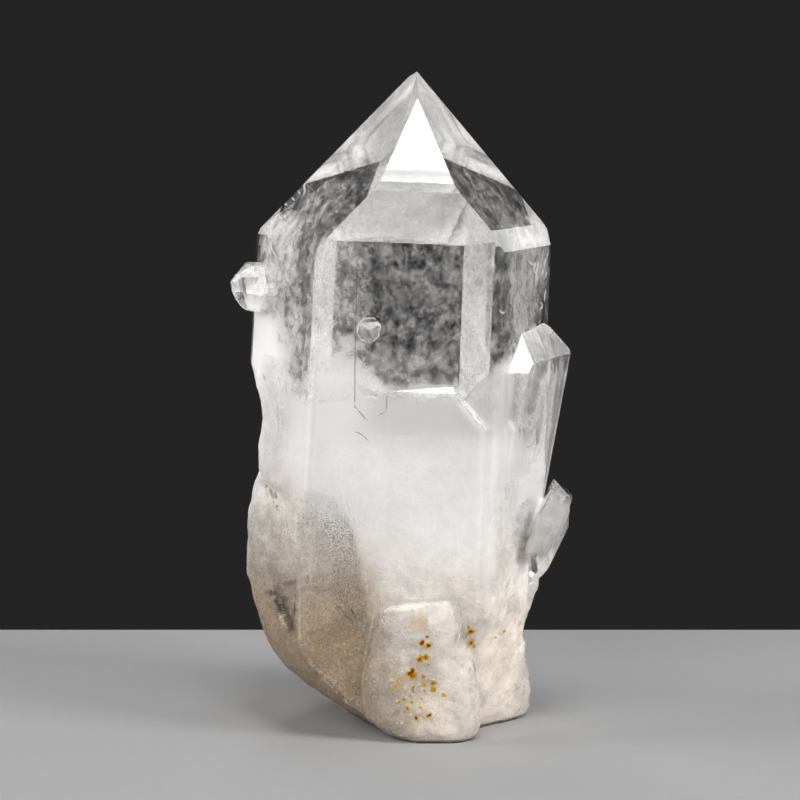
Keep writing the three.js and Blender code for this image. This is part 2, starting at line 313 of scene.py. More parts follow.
class Graph:
    """A hand that lays shader nodes and wires them."""

    def __init__(self, tree: bpy.types.NodeTree) -> None:
        """Starts on an empty tree."""
        self.tree = tree
        tree.nodes.clear()

    def node(self, kind: str, wires: dict | None = None, **settings: object) -> bpy.types.Node:
        """Adds a node.

        Args:
            kind: the node's type name without its ShaderNode prefix.
            wires: what goes into its inputs by name or number: a socket to link, or a plain value.
            settings: properties set on the node itself.

        Returns:
            The node.
        """
        prefix = "" if kind.startswith("Node") else "ShaderNode"
        node = self.tree.nodes.new(prefix + kind)
        for key, value in settings.items():
            setattr(node, key, value)
        for name, source in (wires or {}).items():
            if isinstance(source, bpy.types.NodeSocket):
                self.tree.links.new(source, node.inputs[name])
            else:
                node.inputs[name].default_value = source
        return node

    def math(self, operation: str, *terms: object) -> bpy.types.NodeSocket:
        """A Math node's result, with each term a socket or a number."""
        return self.node("Math", dict(enumerate(terms)), operation=operation).outputs[0]

    def band(self, value: bpy.types.NodeSocket, low: float, high: float) -> bpy.types.NodeSocket:
        """Rises smoothly from 0 where the value is low to 1 where it is high."""
        wires = {"Value": value, "From Min": low, "From Max": high}
        return self.node("MapRange", wires, interpolation_type="SMOOTHSTEP").outputs[0]

    def blend(self, share: object, first: object, second: object) -> bpy.types.NodeSocket:
        """Mixes two colours by a share."""
        return self.node("Mix", {0: share, 6: first, 7: second}, data_type="RGBA").outputs[2]

    def mark(self, name: str) -> bpy.types.NodeSocket:
        """The numbers that the mesh keeps under a name."""
        return self.node("Attribute", attribute_name=name).outputs["Fac"]

    def noise(
        self, place: object, scale: object, detail: float, uneven: float = 0.5, tear: object = 0.0
    ) -> bpy.types.NodeSocket:
        """Fractal noise about one half: its scale, its finest steps, how strong they are, and its tear."""
        wires = {"Vector": place, "Scale": scale, "Detail": detail, "Roughness": uneven, "Distortion": tear}
        return self.node("TexNoise", wires).outputs[0]

    def swing(self, noise: bpy.types.NodeSocket, strength: object) -> bpy.types.NodeSocket:
        """How far noise is from its middle, times a strength."""
        return self.math("MULTIPLY", self.math("SUBTRACT", noise, 0.5), strength)

    def dimmed(self, colour: object, share: object) -> bpy.types.NodeSocket:
        """A colour times a share."""
        return self.node("VectorMath", {0: colour, "Scale": share}, operation="SCALE").outputs[0]

    def stretched(self, place: object, stretch: object) -> bpy.types.NodeSocket:
        """A place times a number along each axis."""
        return self.node("VectorMath", {0: place, 1: stretch}, operation="MULTIPLY").outputs[0]

    def finish(self, shader: bpy.types.Node) -> None:
        """Wires a shader to the surface."""
        self.node("OutputMaterial", {"Surface": shader.outputs[0]})

    def group(self, tree: bpy.types.NodeTree, **wires: object) -> bpy.types.Node:
        """Places a node group and sets its inputs, whose names have spaces for underscores.

        Args:
            tree: the group.
            wires: what goes into its inputs: a socket to link, or a plain value.

        Returns:
            The node.
        """
        node = self.node("Group", node_tree=tree)
        for name, source in wires.items():
            socket = node.inputs[name.replace("_", " ")]
            if isinstance(source, bpy.types.NodeSocket):
                self.tree.links.new(source, socket)
            else:
                socket.default_value = source
        return node


def new_material(name: str) -> tuple[bpy.types.Material, Graph, bpy.types.NodeSocket]:
    """Starts a material with nothing in it but its coordinates.

    Args:
        name: the finish's name.

    Returns:
        The material, the graph inside it, and its Object coordinates.
    """
    made = bpy.data.materials.new(name)
    made.use_nodes = True
    graph = Graph(made.node_tree)
    return made, graph, graph.node("TexCoord").outputs["Object"]


def new_group(name: str, inputs: dict[str, Socket], outputs: dict[str, Socket]) -> tuple[Graph, dict, dict]:
    """Starts a shader node group.

    Args:
        name: the group's name.
        inputs: the kind of each named input.
        outputs: the kind of each named output.

    Returns:
        The graph inside it, its input sockets by name, and the output node's sockets by name.
    """
    tree = bpy.data.node_groups.new(name, "ShaderNodeTree")
    for side, sockets in (("INPUT", inputs), ("OUTPUT", outputs)):
        for label, kind in sockets.items():
            tree.interface.new_socket(label, in_out=side, socket_type=kind.value)
    graph = Graph(tree)
    enter = graph.node("NodeGroupInput")
    leave = graph.node("NodeGroupOutput")
    return graph, dict(enter.outputs.items()), dict(leave.inputs.items())


def wisps_group() -> bpy.types.NodeTree:
    """Torn, thready clouds: stretched noise about an amount, so a large amount closes the gaps in it.

    Returns:
        The group, which puts out a mask.
    """
    graph, given, out = new_group(
        "Wisps",
        {"Vector": Socket.VECTOR, "Stretch": Socket.VECTOR, "Scale": Socket.NUMBER, "Tear": Socket.NUMBER,
         "Contrast": Socket.NUMBER, "Amount": Socket.NUMBER},
        {"Mask": Socket.NUMBER},
    )
    pulled = graph.stretched(given["Vector"], given["Stretch"])
    noise = graph.noise(pulled, given["Scale"], 9.0, 0.72, given["Tear"])
    swing = graph.swing(noise, given["Contrast"])
    mask = graph.band(graph.math("ADD", swing, given["Amount"]), 0.0, 1.0)
    graph.tree.links.new(mask, out["Mask"])
    return graph.tree


# The heights in metres where the milk begins to turn warm and where it is warm, how far its clouds shift
# them, how fine those clouds are, and the least brightness and the range that they give.
WARMING = (0.066, 0.026)
WARMING_SHIFT = 0.06
CLOUD_SCALE = 45.0
CLOUD_LEAST = 0.88
CLOUD_RANGE = 0.24


def milk_group() -> bpy.types.NodeTree:
    """The milk's colour: white above, warm below a wavering height, with faint clouds.

    Returns:
        The group, which puts out a colour.
    """
    graph, given, out = new_group(
        "MilkColour",
        {"Vector": Socket.VECTOR, "White": Socket.COLOUR, "Warm": Socket.COLOUR},
        {"Color": Socket.COLOUR},
    )
    place = given["Vector"]
    height = graph.node("SeparateXYZ", {0: place}).outputs[2]
    cloud = graph.noise(place, CLOUD_SCALE, 8.0, 0.6)
    uneven = graph.math("ADD", height, graph.swing(cloud, WARMING_SHIFT))
    colour = graph.blend(graph.band(uneven, *WARMING), given["White"], given["Warm"])
    shade = graph.math("ADD", graph.math("MULTIPLY", cloud, CLOUD_RANGE), CLOUD_LEAST)
    colour = graph.dimmed(colour, shade)
    graph.tree.links.new(colour, out["Color"])
    return graph.tree


# The roughness of the milk and the veils.
MATT = 0.9


@dataclass(frozen=True)
class Mark:
    """A spot or a mark along straight pieces, on or just under the surface.

    Fields:
        places: the points it runs through, in millimetres from the stone's axis foot. One point is a spot.
        width: how far it reaches to each side, in millimetres.
        amount: its strength.
    """

    places: tuple[Place, ...]
    width: float
    amount: float = 1.0

    def at(self, place: np.ndarray) -> np.ndarray:
        """Its strength at places in stone millimetres: full on it, fading smoothly to 0 at its width.

        The nearest point of a straight piece is its start plus the piece times the share of the way to it,
        kept between 0 and 1.

        Args:
            place: places in stone millimetres, shape (..., 3).

        Returns:
            One number for each place.
        """
        points = np.array(self.places, float)
        if len(points) == 1:
            points = np.repeat(points, 2, 0)
        nearest = np.full(place.shape[:-1], np.inf)
        for start, end in zip(points, points[1:]):
            along = end - start
            share = np.clip(((place - start) @ along) / max(along @ along, 1e-9), 0, 1)
            away = np.linalg.norm(place - start - share[..., None] * along, axis=-1)
            nearest = np.minimum(nearest, away)
        return self.amount * smooth(self.width, 0, nearest)


def strongest(marks: tuple, place: np.ndarray) -> np.ndarray:
    """The strongest of several marks or clouds at each place."""
    return np.max([mark.at(place) for mark in marks], axis=0)


# Painted highlights: where the milk is painted bright, along the bevels of the front lobe and the valley
# beside it.
PAINTED_GLINT_MARKS = (
    Mark(((-4.9, -34.1, 41.5), (2.6, -34.4, 42.2), (16.2, -35.1, 44.4)), 2.0),
    Mark(((15.1, -36.3, 29.0), (18.0, -35.4, 27.0)), 4.0, 0.8),
    Mark(((17.0, -35.5, 43.0), (19.3, -33.6, 30.3), (22.5, -28.0, 20.0), (25.4, -22.0, 12.0)), 2.6, 0.7),
)

# Painted shade: where the milk is painted dark, in the creases of the bulge on the left.
PIT_SHADE = (
    Mark(((-38.3, -20.2, 42.5), (-35.0, -27.0, 36.0), (-32.6, -30.8, 32.8)), 3.0, 0.75),
    Mark(((-29.6, -32.4, 52.4), (-29.9, -33.5, 39.6)), 2.4, 0.6),
    Mark(((-33.5, -29.0, 37.5),), 6.0, 0.7),
    Mark(((-38.7, -20.0, 71.7), (-37.8, -21.0, 71.0)), 2.2, 0.6),
    Mark(((-36.9, -23.0, 69.9), (-36.0, -24.3, 67.0)), 1.8, 0.6),
    Mark(((-33.0, -30.2, 32.7), (-29.4, -33.2, 26.5), (-22.7, -34.5, 20.9), (-11.7, -34.0, 9.7)), 1.8, 0.5),
)


@dataclass(frozen=True)
class ClearQuartz:
    """The outer stone: clear, with fine growth lines on its upright facets and frost where it broke.

    Fields:
        index: how strongly it bends light.
        takes, density: the colour that passes and how much of the rest is lost per metre.
        polish, frost: the roughness of its facets, and how much more its breaks have.
        line_height: how deep the finest relief is, in metres.
        grain: how fine the grain of its breaks is.
        growth: how fine its growth lines are along X, Y and Z.
        foot_frost: how frosted it is at its foot.
        foot_reach: the heights in metres where that begins and is full, going down.
    """

    index: float = 1.544
    takes: Colour = (0.84, 0.86, 0.85, 1)
    density: float = 1.0
    polish: float = 0.012
    frost: float = 0.45
    line_height: float = 0.00014
    grain: float = 1100.0
    growth: Place = (40.0, 40.0, 1300.0)
    foot_frost: float = 0.4
    foot_reach: tuple[float, float] = (0.085, 0.035)

    def material(self) -> bpy.types.Material:
        """Glass whose roughness and relief follow the height and the frost mark.

        Returns:
            The material.
        """
        made, graph, place = new_material("clear_quartz")
        height = graph.node("SeparateXYZ", {0: place}).outputs[2]
        frost = graph.mark("frost")
        fine = graph.noise(place, self.grain, 4.0)
        low = graph.math("MULTIPLY", graph.band(height, *self.foot_reach), self.foot_frost)
        frost = graph.math("MAXIMUM", frost, low)
        lines = graph.stretched(place, self.growth)
        growth = graph.noise(lines, 1.0, 3.0)
        grain = graph.math("MULTIPLY", fine, graph.math("MULTIPLY", frost, 4.5))
        relief = graph.math("ADD", graph.math("MULTIPLY", growth, 0.25), grain)
        bump = graph.node("Bump", {"Height": relief, "Strength": 0.25, "Distance": self.line_height})
        haze = graph.math("ADD", graph.math("MULTIPLY", frost, self.frost), self.polish)
        glass = graph.node(
            "BsdfPrincipled",
            {"Base Color": (1, 1, 1, 1), "Roughness": haze, "IOR": self.index, "Transmission Weight": 1.0,
             "Normal": bump.outputs[0]},
        )
        lamp = graph.node("LightPath").outputs["Is Shadow Ray"]
        passes = graph.node("BsdfTransparent").outputs[0]
        mixed = graph.node("MixShader", {0: lamp, 1: glass.outputs[0], 2: passes})
        inside = graph.node("VolumeAbsorption", {"Color": self.takes, "Density": self.density}).outputs[0]
        graph.node("OutputMaterial", {"Surface": mixed.outputs[0], "Volume": inside})
        return made


@dataclass(frozen=True)
class Milk:
    """The milk inside: soft white above, warm at the foot, brown where it is sandy, with painted shade
    underneath.

    Fields:
        white, warm: its tones above and at the foot.
        shaded_brown: its tone where the mark `under` is full, a painted shade tinted brown, and a little of
            it where `sand` is.
        pit_shade_tone, painted_glint: its tones of painted shade and painted highlight, where the marks
        `pit_shade` and `painted_glint` are full.
        mottling: how fine its mottling is.
        contrast: how strong that is where the mark `worn` is full.
        relief: how high it stands, in metres.
    """

    white: Colour = (0.82, 0.803, 0.792, 1)
    warm: Colour = (0.78, 0.718, 0.65, 1)
    shaded_brown: Colour = (0.58, 0.43, 0.27, 1)
    pit_shade_tone: Colour = (0.26, 0.235, 0.205, 1)
    painted_glint: Colour = (0.96, 0.95, 0.93, 1)
    mottling: float = 150.0
    contrast: float = 1.4
    relief: float = 0.0012

    def material(self, milk: bpy.types.NodeTree) -> bpy.types.Material:
        """A matt white that turns warm towards the foot.

        Args:
            milk: the group for the milk's colour.

        Returns:
            The material.
        """
        made, graph, place = new_material("milk_quartz")
        colour = graph.group(milk, Vector=place, White=self.white, Warm=self.warm).outputs[0]
        # Painted shade, tinted brown, underneath.
        under = graph.mark("under")
        colour = graph.blend(under, colour, self.shaded_brown)
        sand = graph.mark("sand")
        colour = graph.blend(graph.math("MULTIPLY", sand, 0.15), colour, self.shaded_brown)
        worn = graph.mark("worn")
        # Brightness from a mark of painted light and shade, times the mottling.
        tone_and_painted_light = graph.mark("tone_and_painted_light")
        mottle = graph.noise(place, self.mottling, 10.0, 0.74)
        swing = graph.swing(mottle, graph.math("MULTIPLY", worn, self.contrast))
        shade = graph.math("MULTIPLY", graph.math("ADD", swing, 1.0), tone_and_painted_light)
        colour = graph.dimmed(colour, shade)
        # Painted shade in the pits of the bulge, then painted highlights along the lobe's bevels.
        painted_shade = graph.mark("pit_shade")
        colour = graph.blend(painted_shade, colour, self.pit_shade_tone)
        painted_highlight = graph.mark("painted_glint")
        colour = graph.blend(painted_highlight, colour, self.painted_glint)
        bump = graph.node("Bump", {"Height": mottle, "Strength": worn, "Distance": self.relief})
        wires = {"Base Color": colour, "Roughness": MATT, "Normal": bump.outputs[0]}
        matt = graph.node("BsdfPrincipled", wires)
        graph.finish(matt)
        return made


@dataclass(frozen=True)
class Veil:
    """A veil of tiny bubbles in the clear part: white threads where it is thin, milk where it is thick.

    Fields:
        name: the finish's name.
        strength: how much its threads hide at most where it is thin.
        contrast, scale, stretch, tear: how its threads are shaped.
        opens, closes: how thick it is where its threads hide at most that much, and where it hides fully.
    """

    name: str
    strength: float = 0.6
    contrast: float = 2.4
    scale: float = 95.0
    stretch: Place = (1.1, 1.1, 0.9)
    tear: float = 0.25
    opens: float = 0.5
    closes: float = 1.2

    def material(
        self, milk: bpy.types.NodeTree, wisps: bpy.types.NodeTree, body: Milk
    ) -> bpy.types.Material:
        """A matt white whose alpha is torn into threads.

        Args:
            milk: the group for the milk's colour.
            wisps: the group that tears it.
            body: the milk's finish, whose tones it shares.

        Returns:
            The material.
        """
        made, graph, place = new_material(self.name)
        thick = graph.mark("thick")
        torn = graph.group(
            wisps, Vector=place, Stretch=self.stretch, Scale=self.scale, Tear=self.tear,
            Contrast=self.contrast, Amount=thick,
        )
        wires = {"Value": thick, "From Min": self.opens, "From Max": self.closes, "To Min": self.strength}
        hides = graph.node("MapRange", wires).outputs[0]
        alpha = graph.math("MULTIPLY", torn.outputs[0], hides)
        colour = graph.group(milk, Vector=place, White=body.white, Warm=body.warm).outputs[0]
        # The milk's brightness mark, painted light and shade, shared by the veils.
        tone_and_painted_light = graph.mark("tone_and_painted_light")
        colour = graph.dimmed(colour, tone_and_painted_light)
        matt = graph.node("BsdfPrincipled", {"Base Color": colour, "Roughness": MATT, "Alpha": alpha})
        graph.finish(matt)
        return made


@dataclass(frozen=True)
class Frost:
    """The etched skin of the breaks: a thin uneven frost with dark sand in it, painted white sparkles as
    highlights, and painted shade underneath.

    Fields:
        pale, dull: the frost's two tones.
        shaded_brown: its tone underneath, low on the left, a painted shade tinted brown.
        sand, painted_sparkle: the colours of the dark sand grains and of the painted sparkles, highlights
            on
        grains and crests.
        patches, grains: how fine its patches and its grains are.
        relief: how high they stand, in metres.
    """

    pale: Colour = (1.0, 0.955, 0.90, 1)
    dull: Colour = (0.64, 0.555, 0.47, 1)
    shaded_brown: Colour = (0.44, 0.29, 0.15, 1)
    sand: Colour = (0.19, 0.155, 0.12, 1)
    painted_sparkle: Colour = (1.0, 0.99, 0.96, 1)
    patches: float = 260.0
    grains: float = 1500.0
    relief: float = 0.0003

    def material(self, wisps: bpy.types.NodeTree) -> bpy.types.Material:
        """A matt skin with alpha: patches of two tones, then grains cut from finer noise.

        Args:
            wisps: the group for torn clouds, which here cuts the dark grains.

        Returns:
            The material.
        """
        made, graph, place = new_material("frosted_break")
        grain = graph.mark("grain")
        sand = graph.mark("sand")
        under = graph.mark("under")
        crest = graph.mark("crest")
        patch = graph.noise(place, self.patches, 9.0, 0.78)
        fine = graph.noise(place, self.grains, 3.0, 0.7)
        both = graph.math("ADD", graph.math("MULTIPLY", patch, 0.55), graph.math("MULTIPLY", fine, 0.45))
        colour = graph.blend(graph.band(both, 0.42, 0.56), self.dull, self.pale)
        # Painted shade, tinted brown, underneath and low on the left.
        colour = graph.blend(graph.math("MULTIPLY", under, 0.85), colour, self.shaded_brown)
        # Painted highlights: white sparkles on the finest grains and on the crests.
        crest = graph.math("MULTIPLY", crest, graph.band(fine, 0.35, 0.55))
        painted_sparkles = graph.math("MAXIMUM", graph.band(fine, 0.57, 0.63), crest)
        colour = graph.blend(painted_sparkles, colour, self.painted_sparkle)
        specks = graph.group(
            wisps, Vector=place, Stretch=(1, 1, 1), Scale=2200.0, Tear=0.2, Contrast=5.0,
            Amount=graph.math("SUBTRACT", sand, 0.61),
        ).outputs[0]
        colour = graph.blend(specks, colour, self.sand)
        cover = graph.math("ADD", graph.math("MULTIPLY", graph.band(both, 0.58, 0.42), 0.55), 0.18)
        cover = graph.math("MULTIPLY", graph.math("ADD", cover, graph.math("MULTIPLY", painted_sparkles, 0.6)), grain)
        alpha = graph.math("MAXIMUM", cover, graph.math("MULTIPLY", specks, 0.85))
        relief = graph.math("ADD", fine, graph.math("MULTIPLY", patch, 1.5))
        bump = graph.node("Bump", {"Height": relief, "Strength": 0.9, "Distance": self.relief})
        matt = graph.node(
            "BsdfPrincipled",
            {"Base Color": colour, "Roughness": 0.42, "Alpha": alpha, "Normal": bump.outputs[0]},
        )
        graph.finish(matt)
        return made


@dataclass(frozen=True)
class StainAndPaintedLight:
    """Iron stain: a dark brown heart, an orange rim and a yellow breath. Other spots are made so too:
    tints, and painted glints, painted light patches and painted shade in creases.

    Fields:
        name: the finish's name.
        heart, rim, breath: its colours from the middle outwards.
        frayed: how much fine noise shifts its strength.
        hides: how much it hides at most.
        soft: the strength up to which it fades at its rim.
    """

    name: str = "rust"
    heart: Colour = (0.20, 0.03, 0.0, 1)
    rim: Colour = (0.76, 0.31, 0.0, 1)
    breath: Colour = (0.88, 0.62, 0.03, 1)
    frayed: float = 1.5
    hides: float = 1.0
    soft: float = 0.12

    def material(self) -> bpy.types.Material:
        """A matt stain whose strength is the fleck's own, frayed by fine noise.

        Returns:
            The material.
        """
        made, graph, place = new_material(self.name)
        heart = graph.mark("heart")
        fray = graph.noise(place, 1300.0, 5.0, 0.7)
        swing = graph.swing(fray, self.frayed)
        level = graph.math("ADD", heart, swing)
        colour = graph.blend(graph.band(level, 0.25, 0.5), self.breath, self.rim)
        colour = graph.blend(graph.band(level, 0.5, 0.75), colour, self.heart)
        alpha = graph.math("MULTIPLY", graph.band(level, 0.0, 0.45), graph.band(heart, 0.0, self.soft))
        alpha = graph.math("MULTIPLY", alpha, self.hides)
        wires = {"Base Color": colour, "Roughness": 1.0, "Specular IOR Level": 0.1, "Alpha": alpha}
        matt = graph.node("BsdfPrincipled", wires)
        graph.finish(matt)
        return made


@dataclass(frozen=True)
class ScratchAndPaintedLight:
    """A hairline in or on the stone, of one colour, broken up along its length. Besides cracks, it makes
    painted highlights along edges, painted shade in creases and a painted dark streak.

    Fields:
        name: the finish's name.
        colour: its colour.
        hides: how much it hides at most.
        torn: the noise under which it is gone, and over which it is whole.
    """

    name: str
    colour: Colour
    hides: float
    torn: tuple[float, float] = (0.28, 0.48)

    def material(self) -> bpy.types.Material:
        """A matt line that is strongest in its middle.

        Returns:
            The material.
        """
        made, graph, place = new_material(self.name)
        heart = graph.mark("heart")
        fray = graph.noise(place, 500.0, 4.0)
        whole = graph.math("MULTIPLY", heart, graph.band(fray, *self.torn))
        alpha = graph.math("MULTIPLY", whole, self.hides)
        matt = graph.node("BsdfPrincipled", {"Base Color": self.colour, "Roughness": 0.6, "Alpha": alpha})
        graph.finish(matt)
        return made


@dataclass(frozen=True)
class Cloud:
    """Where a veil is thick: an uneven ball around a place.

    Fields:
        middle: in millimetres from the stone's axis foot.
        radii: half its size along X, Y and Z in millimetres.
        amount: how thick it is at its middle.
        soft: the share of the radius over which it fades.
    """

    middle: Place
    radii: Place
    amount: float
    soft: float = 0.6

    def at(self, places: np.ndarray) -> np.ndarray:
        """Its thickness at places in stone millimetres, shape (..., 3)."""
        away = np.linalg.norm((places - np.array(self.middle)) / np.array(self.radii), axis=-1)
        return self.amount * smooth(1.0, 1.0 - self.soft, away)


class Kind(Enum):
    """What a face of the outer stone is."""

    CRYSTAL = 0
    BROKEN = 1
    WORN = 2


@dataclass
class ClearStone:
    """The outer stone: the solid's own facets with worn edges, and its broken parts made finer.

    Fields:
        flat_area: a facet larger than this, in square metres, is a crystal face. Smaller ones are a break.
        crisp_angle: the least angle in degrees between two crystal faces whose edge is worn.
        edge_wear: how wide the wear is, in metres.
        wear_room: an edge shorter than this many times the wear stays sharp.
        merge: points closer than this, in metres, become one.
        flat_angle: faces that differ by less than this, in degrees, are one facet.
        fine: edges in the broken parts longer than this, in metres, are cut in three.
        ease: how often each broken point moves halfway to the middle of its neighbours.
        stands: below this height, in millimetres, nothing is pushed outwards, so that the foot stands flat.
    """

    flat_area: float = 12e-6
    crisp_angle: float = 8.0
    edge_wear: float = 0.00016
    wear_room: float = 6.0
    merge: float = 2e-6
    flat_angle: float = 0.4
    fine: float = 0.0014
    ease: int = 1
    stands: float = 1.5

    def cut(self, node: bpy.types.Object) -> bpy.types.Mesh:
        """A merged copy of the node's mesh with worn edges, broken parts cut finer and each face's kind.

        Args:
            node: the part's node in the frame.

        Returns:
            The new mesh.
        """
        mesh = node.data.copy()
        mesh.name = "clear_stone"
        mesh.materials.clear()
        shape = bmesh.new()
        shape.from_mesh(mesh)
        bmesh.ops.remove_doubles(shape, verts=shape.verts, dist=self.merge)
        flat = math.radians(self.flat_angle)
        bmesh.ops.dissolve_limit(
            shape, angle_limit=flat, verts=shape.verts, edges=shape.edges, delimit={"NORMAL"}
        )
        kind = shape.faces.layers.int.new("kind")
        for face in shape.faces:
            face[kind] = (Kind.CRYSTAL if face.calc_area() > self.flat_area else Kind.BROKEN).value
        crisp = [
            edge for edge in shape.edges
            if all(face[kind] == Kind.CRYSTAL.value for face in edge.link_faces)
            and edge.calc_face_angle(0) > math.radians(self.crisp_angle)
            and edge.calc_length() > self.wear_room * self.edge_wear
        ]
        worn = bmesh.ops.bevel(
            shape, geom=crisp, offset=self.edge_wear, offset_type="OFFSET", segments=2, profile=0.5,
            affect="EDGES", clamp_overlap=True,
        )
        for face in worn["faces"]:
            face[kind] = Kind.WORN.value
        broken = [face for face in shape.faces if face[kind] == Kind.BROKEN.value]
        bmesh.ops.triangulate(shape, faces=broken)
        broken = [face for face in shape.faces if face[kind] == Kind.BROKEN.value]
        rims = {edge for face in broken for edge in face.edges}
        long = [edge for edge in shape.edges if edge in rims and edge.calc_length() > self.fine]
        bmesh.ops.subdivide_edges(shape, edges=long, cuts=2, use_grid_fill=True)
        bmesh.ops.triangulate(shape, faces=shape.faces)
        shape.to_mesh(mesh)
        shape.free()
        return mesh

    def build(self, node: bpy.types.Object) -> bpy.types.Object:
        """Eases and roughens the broken parts, and marks where the surface is frosted.

        Each point inside a broken part moves halfway to the mean of its neighbours, a few times, and then
        along its normal by the breaks' relief. Points on a crystal face stay where they are.

        Args:
            node: the part's node in the frame.

        Returns:
            The outer stone.
        """
        mesh = self.cut(node)
        count = len(mesh.vertices)
        co = read(mesh.vertices, "co", 3)
        kinds = read(mesh.attributes["kind"].data, "value", 1, np.int32)[:, 0]
        corners = read(mesh.loops, "vertex_index", 1, np.int32).reshape(-1, 3)
        free = np.ones(count, bool)
        free[corners[kinds != Kind.BROKEN.value].ravel()] = False
        ends = read(mesh.edges, "vertices", 2, np.int32)
        point, other = np.concatenate([ends, ends[:, ::-1]]).T
        near = np.bincount(point, minlength=count)
        inward = free.astype(float)
        for _ in range(self.ease):
            total = np.stack([np.bincount(point, co[other, i], count) for i in range(3)], 1)
            co = np.where(free[:, None], 0.5 * co + 0.5 * total / near[:, None], co)
            around = np.bincount(point, inward[other], count) / near
            inward = np.where(free, 0.5 * inward + 0.5 * around, 0)
        mesh.vertices.foreach_set("co", co.ravel())
        mesh.update()
        push = break_relief(co) * inward
        push = np.where(co[:, 2] < self.stands * MM, np.minimum(push, 0), push)
        co = co + read(mesh.vertices, "normal", 3) * push[:, None]
        mesh.vertices.foreach_set("co", np.clip(co, *CORNERS).ravel())
        mesh.polygons.foreach_set("use_smooth", kinds != Kind.CRYSTAL.value)
        mesh.attributes.remove(mesh.attributes["kind"])
        keep(mesh, {"frost": inward})
        mesh.update()
        crystal, broken = [(kinds == kind.value).sum() for kind in (Kind.CRYSTAL, Kind.BROKEN)]
        log.info("crystal faces: %d, broken faces: %d", crystal, broken)
        return placed("clear_stone", mesh)


@dataclass(frozen=True)
class MilkTop:
    """The uneven level up to which the stone is milky.

    Fields:
        level: its height in the middle, in millimetres.
        left, right: how much it climbs towards the left wall and the right one.
        dip: how much it drops again inside the side crystal on the right.
        lump, step: how high its lumps are in front, in millimetres, and how far apart, in metres.
        behind: how much higher they are at the back, as a share.
    """

    level: float = 97.0
    left: float = 21.0
    right: float = 10.0
    dip: float = 26.0
    lump: float = 2.4
    step: float = 0.016
    behind: float = 2.0

    def at(self, place: np.ndarray) -> np.ndarray:
        """Its height in millimetres over places in stone millimetres, shape (..., 3).

        Args:
            place: places in stone millimetres, shape (..., 3).

        Returns:
            One number for each place.
        """
        x = place[..., 0]
        rise = self.left * smooth(-29, -41, x) + self.right * smooth(18, 30, x)
        rise = rise - self.dip * smooth(33, 38, x)
        flat = place * np.array([1, 1, 0]) * MM
        lump = self.lump * (1 + self.behind * smooth(0, 22, place[..., 1]))
        return self.level + rise + lump * rough(flat, self.step, 5, 3)


@dataclass(frozen=True)
class Side:
    """A flat crystal face that the inner layers stay behind, where a side crystal hides it.

    Fields:
        point: a point on it, in stone millimetres.
        outwards: its normal.
        gaps: heights and how far behind it the layers stay there, both in millimetres.
    """

    point: Place
    outwards: Place
    gaps: tuple[tuple, tuple]

    def room(self, middle: np.ndarray, ray: np.ndarray) -> np.ndarray:
        """How far each heading runs from each middle point before it meets the side, in millimetres.

        That is the middle point's depth behind the side, over how squarely the heading faces it.

        Args:
            middle: the middle points, in stone millimetres, shape (rings, 3).
            ray: the headings as x and y, shape (sectors, 2).

        Returns:
            Distances of shape (rings, sectors).
        """
        normal = np.array(self.outwards) / np.linalg.norm(self.outwards)
        behind = -np.interp(middle[:, 2], *self.gaps) - (middle - np.array(self.point)) @ normal
        facing = ray @ normal[:2]
        return np.where(facing > 1e-3, behind[:, None] / np.maximum(facing, 1e-3), 1e3)


# The faces that the side crystals hide: lower right, upper right, and left shoulder.
SIDES = (
    Side((38.5, -16.6, 78.7), (0.85, -0.51, -0.14), ((30, 42, 100, 112), (-14.0, 0.4, 0.4, -30.0))),
    Side((32.8, -21.8, 83.0), (0.88, -0.47, -0.03), ((78, 94), (-12.0, 0.3))),
    Side((-44.0, -8.0, 130.0), (-0.86, -0.5, 0.0), ((110, 118, 142, 148), (-30.0, 0.0, 0.0, -30.0))),
)


